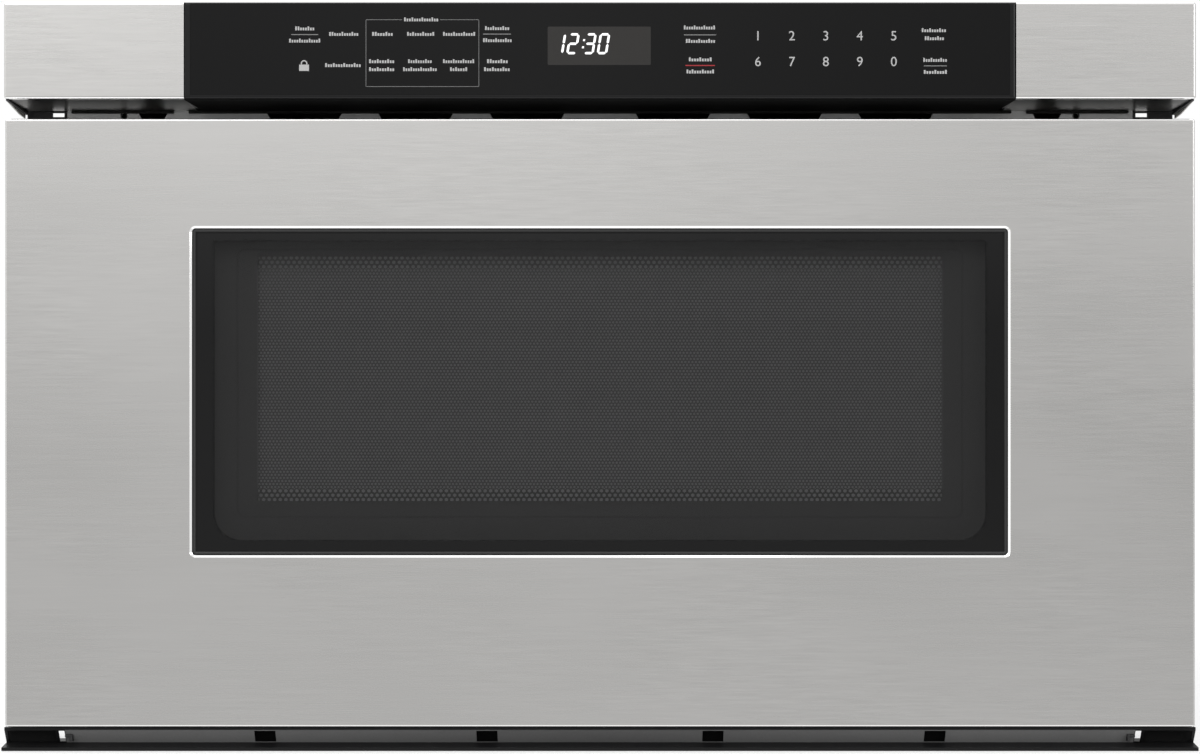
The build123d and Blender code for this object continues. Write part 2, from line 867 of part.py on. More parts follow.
frame_width = chassis_width + 3.0
slot_margin = 2.5
wing_inner = half_chassis - 36.0
wing_outer = half_front - 2.3
wing_low = 12.0
wing_high = chassis_height - 2.0
notch_inner = half_chassis + 3.5
notch_width = 6.3
notch_low = strip_low - 2.9
notch_height = 2.2
cabinet_screw_x = wing_outer - 11.0
cabinet_screw_zs = (wing_low + 28.0, wing_high - 72.0)
cabinet_screw_hole = 2.6
vent_low = door_top - 0.5
vent_high = strip_low + 5.5
vent_corner = 6.5
vent_scale = half_cavity / 229.0  # the vents keep their shares of the cavity's width
vent_width = 41.0 * vent_scale
vent_xs = (38.4 * vent_scale, 97.1 * vent_scale, 155.7 * vent_scale)
small_vent_width = 17.0
small_vent_x = half_chassis - 43.6
pilot_hole = 1.4
pilot_x = half_chassis - 28.3
pilot_z = strip_low - 2.5
cable_hole_width = 60.0
cable_hole_z = (strip_low + 12.0, strip_top - 14.0)


def vent(x, width):
    """An opening with its two lower corners cut off."""
    with BuildSketch(Plane.XZ.offset(-frame_back)) as opening:
        with BuildLine():
            Polyline(
                (x - width / 2, vent_high),
                (x - width / 2, vent_low + vent_corner * 1.6),
                (x - width / 2 + vent_corner, vent_low),
                (x + width / 2 - vent_corner, vent_low),
                (x + width / 2, vent_low + vent_corner * 1.6),
                (x + width / 2, vent_high),
                close=True,
            )
        make_face()
    extrude(opening.sketch, amount=frame_sheet, mode=Mode.SUBTRACT)


with BuildPart() as front_frame:
    sheet_y = (frame_y, frame_back)
    block(around(0, frame_width), sheet_y, (0, chassis_height))
    block(around(0, cavity_width), sheet_y, (cavity_low, cavity_top), Mode.SUBTRACT)
    block(
        (rack_back - slot_margin, rack_tip + slot_margin),
        sheet_y,
        (rack_bottom - slot_margin, rack_top + slot_margin),
        Mode.SUBTRACT,
    )
    for _, sign in SIDES:
        block(
            mirrored(sign, arm_inner - slot_margin, slide_web),
            sheet_y,
            (min(arm_low, slide_middle - middle_height / 2) - slot_margin, arm_high + slot_margin),
            Mode.SUBTRACT,
        )
        block(
            around(sign * hook_x, hook_thickness + 3 * slot_margin),
            sheet_y,
            (hook_low - 1.5, hook_high + 1.5),
            Mode.SUBTRACT,
        )
        for x in vent_xs:
            vent(sign * x, vent_width)
        vent(sign * small_vent_x, small_vent_width)
        along_y(sign * pilot_x, sheet_y, pilot_z, pilot_hole, Mode.SUBTRACT)
    block(
        around(0, cable_hole_width),
        sheet_y,
        cable_hole_z,
        Mode.SUBTRACT,
    )
front_frame.part.label = "front_frame"
export_step(front_frame.part, "parts/front_frame.step")

with BuildPart() as mounting_wings:
    for _, sign in SIDES:
        wing_y = (frame_back, wing_back)
        block(mirrored(sign, wing_inner, wing_outer), wing_y, (wing_low, wing_high))
        block(
            mirrored(sign, notch_inner, notch_inner + notch_width),
            wing_y,
            (notch_low, notch_low + notch_height),
            Mode.SUBTRACT,
        )
        for z in cabinet_screw_zs:
            along_y(sign * cabinet_screw_x, wing_y, z, cabinet_screw_hole, Mode.SUBTRACT)
        along_y(sign * pilot_x, wing_y, pilot_z, pilot_hole, Mode.SUBTRACT)
mounting_wings.part.label = "mounting_wings"
export_step(mounting_wings.part, "parts/mounting_wings.step")

# ================= chassis: cavity =================

stirrer_setback = 212.0
stirrer_y = cavity_rear - stirrer_setback
dome_radius = 76.0
dome_height = 18.0
dome_top = roof_top + dome_height
shaft_hole = 12.0
lamp_inset = 79.0
lamp_setback = 102.0
lamp_x = half_cavity - lamp_inset
lamp_y = cavity_rear - lamp_setback
lamp_hole = 2.0
lamp_hole_pitch = 6.0
steam_setback = 98.5
steam_x = 126.0 * vent_scale
steam_y = frame_back + steam_setback
steam_columns = 12
steam_rows = 5
cavity_outer = half_cavity + cavity_sheet

with BuildPart() as cavity_floor:
    block(
        (-cavity_outer, cavity_outer),
        (frame_back, cavity_rear),
        (cavity_low - cavity_sheet, cavity_low),
    )
cavity_floor.part.label = "cavity_floor"
export_step(cavity_floor.part, "parts/cavity_floor.step")

with BuildPart() as cavity_roof:
    block((-cavity_outer, cavity_outer), (frame_back, cavity_rear), (cavity_top, roof_top))
    upright(0, stirrer_y, (cavity_top, dome_top), dome_radius)
    upright(0, stirrer_y, (cavity_top, dome_top - cavity_sheet), dome_radius - cavity_sheet, Mode.SUBTRACT)
    upright(0, stirrer_y, (dome_top - cavity_sheet, dome_top), shaft_hole, Mode.SUBTRACT)
    with Locations((lamp_x, lamp_y, cavity_top)):
        with GridLocations(lamp_hole_pitch, lamp_hole_pitch, 5, 5):
            Cylinder(lamp_hole, 4 * cavity_sheet, mode=Mode.SUBTRACT)
    with Locations((steam_x, steam_y, cavity_top)):
        with GridLocations(lamp_hole_pitch, lamp_hole_pitch, steam_columns, steam_rows):
            Cylinder(lamp_hole, 4 * cavity_sheet, mode=Mode.SUBTRACT)
cavity_roof.part.label = "cavity_roof"
export_step(cavity_roof.part, "parts/cavity_roof.step")

with BuildPart() as cavity_walls:
    for _, sign in SIDES:
        block(
            mirrored(sign, half_cavity, cavity_outer),
            (frame_back, cavity_rear),
            (cavity_low, cavity_top),
        )
    block(
        (-cavity_outer, cavity_outer),
        (cavity_rear, cavity_rear + cavity_sheet),
        (cavity_low - cavity_sheet, roof_top),
    )
cavity_walls.part.label = "cavity_walls"
export_step(cavity_walls.part, "parts/cavity_walls.step")

# ---- stirrer, its cover and motor, and the waveguide ----
cover_disc = 84.0
stirrer_cover_thickness = 1.5
guide_width = 86.0
guide_height = 40.0
guide_ahead = 45.0  # of the stirrer's axis
guide_behind = 96.0  # behind the cavity
guide_front = stirrer_y - guide_ahead
guide_rear = cavity_rear + guide_behind
guide_top = dome_top + guide_height
magnetron_behind = 50.0
magnetron_y = cavity_rear + magnetron_behind
stirrer_shaft_radius = 3.0
blade_radius = 62.0
blade_low = roof_top + 4.0
blade_thickness = 1.5
blade_width = 30.0
stirrer_hub = 8.0
boss_radius = 7.0
motor_shell_radius = 24.0
motor_shell_height = 17.0
motor_flange = 2.0
stirrer_bore_depth = 11.0

with BuildPart() as stirrer_cover:
    upright(
        0, stirrer_y, (cavity_top - stirrer_cover_thickness, cavity_top), cover_disc
    )
stirrer_cover.part.label = "stirrer_cover"
export_step(stirrer_cover.part, "parts/stirrer_cover.step")

with BuildPart() as waveguide:
    block(around(0, guide_width), (guide_front, guide_rear), (dome_top, guide_top))
    block(
        around(0, guide_width - 2 * cavity_sheet),
        (guide_front + cavity_sheet, guide_rear - cavity_sheet),
        (dome_top + cavity_sheet, guide_top - cavity_sheet),
        Mode.SUBTRACT,
    )
    upright(0, stirrer_y, (dome_top, dome_top + cavity_sheet), shaft_hole, Mode.SUBTRACT)
    upright(0, magnetron_y, (dome_top, dome_top + cavity_sheet), shaft_hole, Mode.SUBTRACT)
    upright(0, stirrer_y, (guide_top - cavity_sheet, guide_top), boss_radius + seat_gap, Mode.SUBTRACT)
waveguide.part.label = "waveguide"
export_step(waveguide.part, "parts/waveguide.step")

with BuildPart() as stirrer:
    for turn in (0, 90):
        with BuildSketch(Plane.XY.offset(blade_low)):
            with Locations(Location((0, stirrer_y, 0), (0, 0, turn))):
                SlotOverall(2 * blade_radius, blade_width)
        extrude(amount=blade_thickness)
    upright(0, stirrer_y, (blade_low, dome_top - cavity_sheet - 2.0), stirrer_hub)
    upright(
        0,
        stirrer_y,
        (blade_low, guide_top + stirrer_bore_depth - rest_gap),
        stirrer_shaft_radius,
    )
stirrer.part.label = "stirrer"
export_step(stirrer.part, "parts/stirrer.step")

with BuildPart() as stirrer_motor:
    block(
        around(0, 2 * motor_shell_radius + 24.0),
        around(stirrer_y, 2 * motor_shell_radius),
        (guide_top, guide_top + motor_flange),
    )
    upright(
        0,
        stirrer_y,
        (guide_top + motor_flange, guide_top + motor_flange + motor_shell_height),
        motor_shell_radius,
    )
    upright(0, stirrer_y, (guide_top - cavity_sheet, guide_top), boss_radius)
    upright(
        0,
        stirrer_y,
        (guide_top - cavity_sheet, guide_top + stirrer_bore_depth),
        stirrer_shaft_radius + fit,
        Mode.SUBTRACT,
    )
stirrer_motor.part.label = "stirrer_motor"
export_step(stirrer_motor.part, "parts/stirrer_motor.step")

# ---- magnetron: yoke, cooling fins, filter box and antenna ----
yoke_width = 95.0
yoke_depth = 78.0
yoke_height = 82.0
yoke_sheet = 3.0
fin_count = 9
fin_thickness = 1.0
fin_inset = 6.0
filter_box_height = 26.0
antenna_radius = 9.0
antenna_height = 24.0
anode_radius = 17.0
yoke_low = dome_top - yoke_height

with BuildPart() as magnetron:
    block(around(0, yoke_width), around(magnetron_y, yoke_depth), (yoke_low, dome_top))
    block(
        around(0, yoke_width - 2 * yoke_sheet),
        around(magnetron_y, yoke_depth),
        (yoke_low + yoke_sheet, dome_top - yoke_sheet),
        Mode.SUBTRACT,
    )
    upright(0, magnetron_y, (yoke_low, dome_top), anode_radius)
    for i in range(fin_count):
        fin_z = yoke_low + (i + 1) * yoke_height / (fin_count + 1)
        block(
            around(0, yoke_width - 2 * yoke_sheet),
            around(magnetron_y, yoke_depth - 2 * fin_inset),
            around(fin_z, fin_thickness),
        )
    block(
        around(0, yoke_width - 10.0),
        around(magnetron_y, yoke_depth - 6.0),
        (yoke_low - filter_box_height, yoke_low),
    )
    upright(0, magnetron_y, (dome_top, dome_top + antenna_height), antenna_radius)
    fillet(magnetron.edges().group_by(Axis.Z)[-1], 3.0)
magnetron.part.label = "magnetron"
export_step(magnetron.part, "parts/magnetron.step")

# ---- high-voltage transformer, standing on the base ----
core_x = 109.0 - half_chassis
core_width = 100.0
core_depth = 62.0
core_height = 84.0
core_leg = 16.0
core_y = cavity_rear + 52.0
window_span = (core_width - 4 * core_leg) / 2
coil_overhang = 14.0
coil_clear = 0.4

with BuildPart() as transformer_core:
    block(around(core_x, core_width), around(core_y, core_depth), (sheet, sheet + core_height))
    for sign in (-1, 1):
        block(
            around(core_x + sign * (core_leg + window_span / 2), window_span),
            around(core_y, core_depth),
            (sheet + core_leg, sheet + core_height - core_leg),
            Mode.SUBTRACT,
        )
transformer_core.part.label = "transformer_core"
export_step(transformer_core.part, "parts/transformer_core.step")

coil_low = sheet + core_leg + coil_clear
coil_high = sheet + core_height - core_leg - coil_clear
coil_split = coil_low + (coil_high - coil_low) * 0.6
with BuildPart() as transformer_windings:
    for low, high in ((coil_low, coil_split - coil_clear), (coil_split + coil_clear, coil_high)):
        block(
            around(core_x, 2 * core_leg + 2 * window_span - 2 * coil_clear),
            around(core_y, core_depth + 2 * coil_overhang),
            (low, high),
        )
        block(
            around(core_x, 2 * core_leg + 2 * coil_clear),
            around(core_y, core_depth + 2 * coil_clear),
            (low, high),
            Mode.SUBTRACT,
        )
    fillet(
        transformer_windings.edges().filter_by(Axis.Z).filter_by(
            lambda e: abs(e.center().Y - core_y) > core_depth / 2 + coil_overhang - 1
        ),
        6.0,
    )
transformer_windings.part.label = "transformer_windings"
export_step(transformer_windings.part, "parts/transformer_windings.step")

# ---- capacitor with its bracket and diode ----
capacitor_pitch = 110.0  # from the transformer
capacitor_behind = 60.0
capacitor_x = core_x + capacitor_pitch
capacitor_y = cavity_rear + capacitor_behind
capacitor_width = 52.0
capacitor_thickness = 34.0
capacitor_height = 88.0
capacitor_foot = 8.0
diode_radius = 3.5
diode_length = 16.0
diode_z = 60.0
tab_height = 12.0
with BuildPart() as capacitor:
    with BuildSketch(Plane.XY.offset(sheet)):
        with Locations((capacitor_x, capacitor_y)):
            SlotOverall(capacitor_width, capacitor_thickness)
    extrude(amount=capacitor_height)
    block(
        around(capacitor_x, capacitor_width + 2 * capacitor_foot),
        around(capacitor_y, 14.0),
        (sheet, 2 * sheet),
    )
    for sign in (-1, 1):
        block(
            around(capacitor_x + sign * 10.0, 6.3),
            around(capacitor_y, 0.8),
            (sheet + capacitor_height, sheet + capacitor_height + tab_height),
        )
    along_x(
        around(capacitor_x, diode_length),
        capacitor_y + capacitor_thickness / 2 + diode_radius - 1.5,
        diode_z,
        diode_radius,
    )
capacitor.part.label = "capacitor"
export_step(capacitor.part, "parts/capacitor.step")

# ---- cooling fan ----
strut_width = 6.0
strut_depth = 4.0
blade_count = 7
fan_blade_thickness = 2.0
fan_blade_pitch = radians(34)
wheel_front = fan_front + 2.0
wheel_rear = fan_rear - strut_depth - fan_stator_depth - 1.0
fan_tip = fan_bore - fan_tip_gap
hub_wall = 2.0
fan_pin_front = wheel_front + hub_wall + rest_gap

with BuildPart() as fan_housing:
    block(around(fan_x, fan_size), (fan_front, fan_rear), around(fan_z, fan_size))
    along_y(fan_x, (fan_front, fan_rear), fan_z, fan_bore, Mode.SUBTRACT)
    for angle in (45, 135, 225, 315):
        x = fan_x + (fan_size / 2 - 7.5) * (1 if cos(radians(angle)) > 0 else -1)
        z = fan_z + (fan_size / 2 - 7.5) * (1 if sin(radians(angle)) > 0 else -1)
        along_y(x, (fan_front, fan_rear), z, 2.2, Mode.SUBTRACT)
    block(
        around(fan_x, 2 * fan_bore + 1),
        (fan_rear - strut_depth, fan_rear),
        around(fan_z, strut_width),
    )
    block(
        around(fan_x, strut_width),
        (fan_rear - strut_depth, fan_rear),
        around(fan_z, 2 * fan_bore + 1),
    )
    along_y(
        fan_x,
        (fan_rear - strut_depth - fan_stator_depth, fan_rear),
        fan_z,
        fan_hub_radius - hub_wall - 1.0,
    )
    along_y(fan_x, (fan_pin_front, fan_rear), fan_z, fan_shaft_radius)
fan_housing.part.label = "fan_housing"
export_step(fan_housing.part, "parts/fan_housing.step")

with BuildPart() as fan_wheel:
    along_y(fan_x, (wheel_front, wheel_rear), fan_z, fan_hub_radius)
    for i in range(blade_count):
        turn = 2 * pi * i / blade_count
        outward = Vector(cos(turn), 0, sin(turn))
        around_hub = Vector(-sin(turn), 0, cos(turn))
        chord = around_hub * cos(fan_blade_pitch) + Vector(0, sin(fan_blade_pitch), 0)
        root = Vector(fan_x, (wheel_front + wheel_rear) / 2, fan_z)
        root += outward * (fan_hub_radius - 1.0)
        with BuildSketch(Plane(origin=root, x_dir=chord, z_dir=outward)):
            Rectangle((wheel_rear - wheel_front) * 0.9, fan_blade_thickness)
        extrude(amount=fan_tip - fan_hub_radius)
    along_y(
        fan_x, (fan_pin_front - rest_gap, wheel_rear), fan_z, fan_shaft_radius + fit, Mode.SUBTRACT
    )
fan_wheel.part.label = "fan_wheel"
export_step(fan_wheel.part, "parts/fan_wheel.step")

# ---- boards ----
board_thickness = 1.6
standoff_radius = 3.0
standoff_height = 10.0
relay_board_inset = 17.0
relay_board_setback = 88.5
relay_board_width = 120.0
relay_board_depth = 150.0
relay_board_left = relay_board_inset - half_cavity
relay_board_front = frame_back + relay_board_setback
relay_board_x = (relay_board_left, relay_board_left + relay_board_width)
relay_board_y = (relay_board_front, relay_board_front + relay_board_depth)
relay_low = roof_top + standoff_height
relay_size = (20.0, 26.0, 18.0)
relay_pitch = 32.0
supply_size = (38.0, 44.0, 34.0)  # the small transformer
can_radius = 8.0
can_height = 22.0
can_pitch = 22.0


def corners(x, y, inset):
    return [(a, b) for a in (x[0] + inset, x[1] - inset) for b in (y[0] + inset, y[1] - inset)]


with BuildPart() as relay_board:
    block(relay_board_x, relay_board_y, (relay_low, relay_low + board_thickness))
    for x, y in corners(relay_board_x, relay_board_y, 6.0):
        upright(x, y, (roof_top, relay_low), standoff_radius)
    board_top = relay_low + board_thickness
    for i in range(3):
        block(
            around(relay_board_x[0] + 1.5 * relay_size[0], relay_size[0]),
            around(relay_board_y[0] + 25.0 + relay_pitch * i, relay_size[1]),
            (board_top, board_top + relay_size[2]),
        )
    block(
        around(relay_board_x[1] - 34.0, supply_size[0]),
        around(relay_board_y[1] - 40.0, supply_size[1]),
        (board_top, board_top + supply_size[2]),
    )
    for i in range(2):
        upright(
            relay_board_x[1] - 24.0 - can_pitch * i,
            relay_board_y[0] + 30.0,
            (board_top, board_top + can_height),
            can_radius,
        )
relay_board.part.label = "relay_board"
export_step(relay_board.part, "parts/relay_board.step")

filter_behind = 23.0  # from the rear panel
filter_drop = 62.0  # from the chassis' top
filter_depth = 72.0
filter_height = 50.0
filter_rear = rear_y - filter_behind
filter_top = chassis_height - filter_drop
filter_y = (filter_rear - filter_depth, filter_rear)
filter_z = (filter_top - filter_height, filter_top)
filter_face = -(flange_outer - standoff_height)
coil_radius = 13.0
coil_height = 16.0
film_size = (20.0, 14.0, 28.0)  # the suppression capacitor
with BuildPart() as noise_filter_board:
    block((filter_face, filter_face + board_thickness), filter_y, filter_z)
    for y, z in corners(filter_y, filter_z, 6.0):
        along_x((-flange_outer, filter_face), y, z, standoff_radius)
    along_x(
        (filter_face + board_thickness, filter_face + board_thickness + coil_height),
        filter_y[0] + 22.0,
        sum(filter_z) / 2,
        coil_radius,
    )
    block(
        (filter_face + board_thickness, filter_face + board_thickness + film_size[0]),
        around(filter_y[1] - 18.0, film_size[1]),
        around(sum(filter_z) / 2, film_size[2]),
    )
noise_filter_board.part.label = "noise_filter_board"
export_step(noise_filter_board.part, "parts/noise_filter_board.step")

# ---- cavity lamp, lying over its holes, and the thermal cut-outs ----
lamp_holder = 24.0
bulb_radius = 11.0
bulb_length = 34.0
lamp_axis_z = roof_top + 14.0
with BuildPart() as lamp_socket:
    block(
        (lamp_x + bulb_length / 2, lamp_x + bulb_length / 2 + lamp_holder),
        around(lamp_y, lamp_holder),
        (roof_top, lamp_axis_z + lamp_holder / 2),
    )
    block(
        (lamp_x + bulb_length / 2, lamp_x + bulb_length / 2 + 2.0),
        around(lamp_y, lamp_holder + 20.0),
        (roof_top, roof_top + 14.0),
    )
lamp_socket.part.label = "lamp_socket"
export_step(lamp_socket.part, "parts/lamp_socket.step")

with BuildPart() as lamp_bulb:
    along_x(
        (lamp_x - bulb_length / 2 + bulb_radius, lamp_x + bulb_length / 2),
        lamp_y,
        lamp_axis_z,
        bulb_radius,
    )
    with Locations((lamp_x - bulb_length / 2 + bulb_radius, lamp_y, lamp_axis_z)):
        Sphere(bulb_radius)
lamp_bulb.part.label = "lamp_bulb"
export_step(lamp_bulb.part, "parts/lamp_bulb.step")

cutout_radius = 8.0
cutout_height = 9.0
cutout_ear = 24.0
cutout_ear_width = 7.0
cutout_sheet = 1.0
cutout_inset = 49.0
roof_cutout_setback = 32.0
guide_cutout_setback = 52.0
with BuildPart() as thermal_cutouts:
    for x, y, seat in (
        (half_cavity - cutout_inset, cavity_rear - roof_cutout_setback, roof_top),
        (0.0, cavity_rear - guide_cutout_setback, guide_top),
    ):
        upright(x, y, (seat, seat + cutout_height), cutout_radius)
        block(around(x, cutout_ear), around(y, cutout_ear_width), (seat, seat + cutout_sheet))
thermal_cutouts.part.label = "thermal_cutouts"
export_step(thermal_cutouts.part, "parts/thermal_cutouts.step")

# ---- duct that leads the steam and the cooling air to the vents in the frame ----
duct_wall = 2.0
duct_margin = 6.0
duct_inner = vent_xs[1] - vent_width / 2 - duct_margin
duct_outer = vent_xs[2] + vent_width / 2 + duct_margin
duct_top = vent_high + 4.0
duct_rear = steam_y + steam_rows * lamp_hole_pitch
with BuildPart() as exhaust_duct:
    block((duct_inner, duct_outer), (frame_back, duct_rear), (roof_top, duct_top))
    block(
        (duct_inner + duct_wall, duct_outer - duct_wall),
        (frame_back, duct_rear - duct_wall),
        (roof_top, duct_top - duct_wall),
        Mode.SUBTRACT,
    )
exhaust_duct.part.label = "exhaust_duct"
export_step(exhaust_duct.part, "parts/exhaust_duct.step")

# ================= control strip =================

cap_sheet = 1.0
cap_edge = 1.5
cap_length = 91.6  # each stainless end of the strip
housing_width = strip_width - 2 * cap_length
housing_wall = 2.5
half_housing = housing_width / 2
half_strip = strip_width / 2
back_plate_y = (frame_y - frame_sheet, frame_y)
panel_glass_width = housing_width - 6.6
panel_glass_thickness = 3.0
panel_glass_low = strip_low + 2.1
panel_glass_high = strip_top - 1.0
panel_glass_fit = 0.1
display_width = 52.6
display_height = 19.7
display_low = strip_low + 17.1
display_x = -0.4
lens_thickness = 1.0
display_depth = 8.0

for side, sign in SIDES:
    with BuildPart() as panel_trim:
        block(mirrored(sign, half_housing, half_strip), (front_y, frame_y), (strip_low, strip_top))
        front_edges = panel_trim.edges().group_by(Axis.Y)[0].filter_by(Axis.X)
        end_edges = panel_trim.faces().sort_by(Axis.X)[0 if sign < 0 else -1].edges()
        end_edges = [e for e in end_edges if e.center().Y < frame_y - 1]
        fillet(ShapeList(set(list(front_edges) + end_edges)), cap_edge)
        block(
            mirrored(sign, half_housing, half_strip - cap_sheet),
            (front_y + cap_sheet, frame_y),
            (strip_low + cap_sheet, strip_top - cap_sheet),
            Mode.SUBTRACT,
        )
    panel_trim.part.label = f"panel_trim_{side}"
    export_step(panel_trim.part, f"parts/panel_trim_{side}.step")

with BuildPart() as control_back_plate:
    block(
        (-half_strip + cap_sheet, half_strip - cap_sheet),
        back_plate_y,
        (strip_low + cap_sheet, strip_top - cap_sheet),
    )
    block(
        around(0, cable_hole_width),
        back_plate_y,
        cable_hole_z,
        Mode.SUBTRACT,
    )
control_back_plate.part.label = "control_back_plate"
export_step(control_back_plate.part, "parts/control_back_plate.step")

with BuildPart() as control_housing:
    block((-half_housing, half_housing), (front_y, back_plate_y[0]), (strip_low, strip_top))
    fillet(control_housing.edges().group_by(Axis.Y)[0], 1.5)
    block(
        (-half_housing + housing_wall, half_housing - housing_wall),
        (front_y + panel_glass_thickness + 2.0, back_plate_y[0]),
        (strip_low + housing_wall, strip_top - housing_wall),
        Mode.SUBTRACT,
    )
    block(
        around(0, panel_glass_width + 2 * panel_glass_fit),
        (front_y, front_y + panel_glass_thickness),
        (panel_glass_low - panel_glass_fit, panel_glass_high + panel_glass_fit),
        Mode.SUBTRACT,
    )
    block(
        around(display_x, display_width),
        (front_y, front_y + panel_glass_thickness + 2.0),
        (display_low, display_low + display_height),
        Mode.SUBTRACT,
    )
control_housing.part.label = "control_housing"
export_step(control_housing.part, "parts/control_housing.step")

with BuildPart() as control_glass:
    block(
        around(0, panel_glass_width),
        (front_y, front_y + panel_glass_thickness),
        (panel_glass_low, panel_glass_high),
    )
control_glass.part.label = "control_glass"
export_step(control_glass.part, "parts/control_glass.step")

lens_back = front_y + panel_glass_thickness + lens_thickness
with BuildPart() as display_lens:
    block(
        around(display_x, display_width - 2 * panel_glass_fit),
        (front_y + panel_glass_thickness, lens_back),
        (display_low + panel_glass_fit, display_low + display_height - panel_glass_fit),
    )
display_lens.part.label = "display_lens"
export_step(display_lens.part, "parts/display_lens.step")

control_board_front = lens_back + display_depth
with BuildPart() as control_board:
    block(
        around(0, housing_width - 30.0),
        (control_board_front, control_board_front + board_thickness),
        (strip_low + 6.0, strip_top - 6.0),
    )
    block(
        around(display_x, display_width - 4.0),
        (lens_back, control_board_front),
        (display_low + 2.0, display_low + display_height - 2.0),
    )
    for x in (-half_housing + 25.0, half_housing - 25.0):
        for z in (strip_low + 11.0, strip_top - 11.0):
            along_y(
                x,
                (front_y + panel_glass_thickness + 2.0, control_board_front),
                z,
                standoff_radius,
            )
control_board.part.label = "control_board"
export_step(control_board.part, "parts/control_board.step")

# ================= bottom trim =================

trim_sheet = 1.2
lip_height = 1.7
shelf_depth = 9.0
shelf_rise = 3.1
face_top = 10.0
face_lean = 4.0
air_slot_width = 10.8
air_slot_z = (3.5, 9.5)
air_slot_xs = (57.8, 171.3)
end_slot_x = (half_front - 26.0, half_front - 1.5)
narrow_slot_x = (half_front - 30.6, half_front - 27.3)

with BuildPart() as bottom_trim:
    lean = face_lean / (face_top - shelf_rise)
    face_thick = trim_sheet * (1 + lean**2) ** 0.5

    def face_y(z):
        """The trim's front face at a height, leaning out towards its top."""
        return front_y + shelf_depth - lean * (z - shelf_rise)

    with BuildSketch(Plane.YZ.offset(-front_width / 2)):
        with BuildLine():
            Polyline(
                (front_y, 0),
                (frame_y, 0),
                (frame_y, trim_sheet),
                (face_y(trim_sheet) + face_thick, trim_sheet),
                (face_y(trim_height - trim_sheet) + face_thick, trim_height - trim_sheet),
                (frame_y, trim_height - trim_sheet),
                (frame_y, trim_height),
                (face_y(face_top), trim_height),
                (face_y(face_top), face_top),
                (face_y(shelf_rise), shelf_rise),
                (front_y, lip_height),
                close=True,
            )
        make_face()
    extrude(amount=front_width)
    slot_y = (face_y(face_top) - 1.0, face_y(0) + face_thick)
    for _, sign in SIDES:
        for x in air_slot_xs:
            block(around(sign * x, air_slot_width), slot_y, air_slot_z, Mode.SUBTRACT)
        block(mirrored(sign, *end_slot_x), slot_y, air_slot_z, Mode.SUBTRACT)
        block(mirrored(sign, *narrow_slot_x), slot_y, air_slot_z, Mode.SUBTRACT)
bottom_trim.part.label = "bottom_trim"
export_step(bottom_trim.part, "parts/bottom_trim.step")
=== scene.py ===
"""Looks of the built-in microwave drawer. Metres, +X right, +Y back, +Z up; the drawer opens to -Y."""
import json
from math import cos, pi, radians, sin

import bmesh
import bpy
import numpy as np
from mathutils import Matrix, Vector


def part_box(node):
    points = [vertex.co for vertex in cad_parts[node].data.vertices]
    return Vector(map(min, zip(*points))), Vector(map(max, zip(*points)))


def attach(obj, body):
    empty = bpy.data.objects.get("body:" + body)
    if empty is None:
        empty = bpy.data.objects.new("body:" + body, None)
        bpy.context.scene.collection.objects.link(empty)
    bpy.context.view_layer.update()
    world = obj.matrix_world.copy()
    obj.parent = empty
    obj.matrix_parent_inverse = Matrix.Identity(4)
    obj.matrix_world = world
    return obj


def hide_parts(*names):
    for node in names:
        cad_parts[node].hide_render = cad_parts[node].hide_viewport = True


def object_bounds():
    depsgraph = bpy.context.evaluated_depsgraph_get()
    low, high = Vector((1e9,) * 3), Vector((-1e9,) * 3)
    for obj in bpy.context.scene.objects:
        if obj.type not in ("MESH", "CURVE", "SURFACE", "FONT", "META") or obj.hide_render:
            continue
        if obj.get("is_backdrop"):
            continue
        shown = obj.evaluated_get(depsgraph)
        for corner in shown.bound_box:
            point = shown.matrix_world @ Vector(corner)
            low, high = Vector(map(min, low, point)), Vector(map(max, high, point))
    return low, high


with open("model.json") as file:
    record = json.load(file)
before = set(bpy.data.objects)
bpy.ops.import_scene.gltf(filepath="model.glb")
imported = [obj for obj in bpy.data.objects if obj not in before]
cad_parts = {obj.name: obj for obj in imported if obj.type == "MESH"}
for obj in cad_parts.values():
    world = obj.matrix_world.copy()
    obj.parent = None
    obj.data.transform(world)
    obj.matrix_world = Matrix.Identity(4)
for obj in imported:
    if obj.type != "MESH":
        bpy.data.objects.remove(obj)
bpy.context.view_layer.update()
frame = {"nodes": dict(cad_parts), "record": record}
nodes = frame["nodes"]
scene = bpy.context.scene
scene.view_settings.view_transform = "Standard"

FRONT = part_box("door_skin")[0].y  # plane of the drawer front and of the control glass
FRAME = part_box("front_frame")[0].y

# ---------------------------------------------------------------- camera, light and room
eye_distance = 1.020
eye_height = 0.153
camera = bpy.data.objects.new("camera", bpy.data.cameras.new("camera"))
camera.data.sensor_width = 36.0
camera.data.lens = 60.2
camera.data.shift_y = 0.0608
camera.location = (0.0, FRONT - eye_distance, eye_height)
camera.rotation_euler = (radians(90), 0.0, 0.0)
camera.data.clip_start = 0.05
scene.collection.objects.link(camera)
scene.camera = camera


def lamp(name, place, target, width, height, watts):
    """A soft rectangular lamp that points at a target."""
    data = bpy.data.lights.new(name, "AREA")
    data.shape = "RECTANGLE"
    data.size, data.size_y, data.energy = width, height, watts
    obj = bpy.data.objects.new(name, data)
    obj.location = place
    obj.rotation_euler = (Vector(target) - Vector(place)).to_track_quat("-Z", "Y").to_euler()
    scene.collection.objects.link(obj)


lamp("key", (-1.5, -1.9, 1.9), (0, -0.1, 0.15), 1.6, 1.2, 22)
lamp("fill", (1.8, -1.5, 1.1), (0, -0.1, 0.15), 1.4, 1.2, 11)
lamp("back", (-1.5, 2.0, 1.8), (0, 0, 0.2), 2.2, 1.8, 11)
lamp("top", (0.2, 0.2, 2.4), (0, 0, 0.3), 2.2, 2.2, 12)


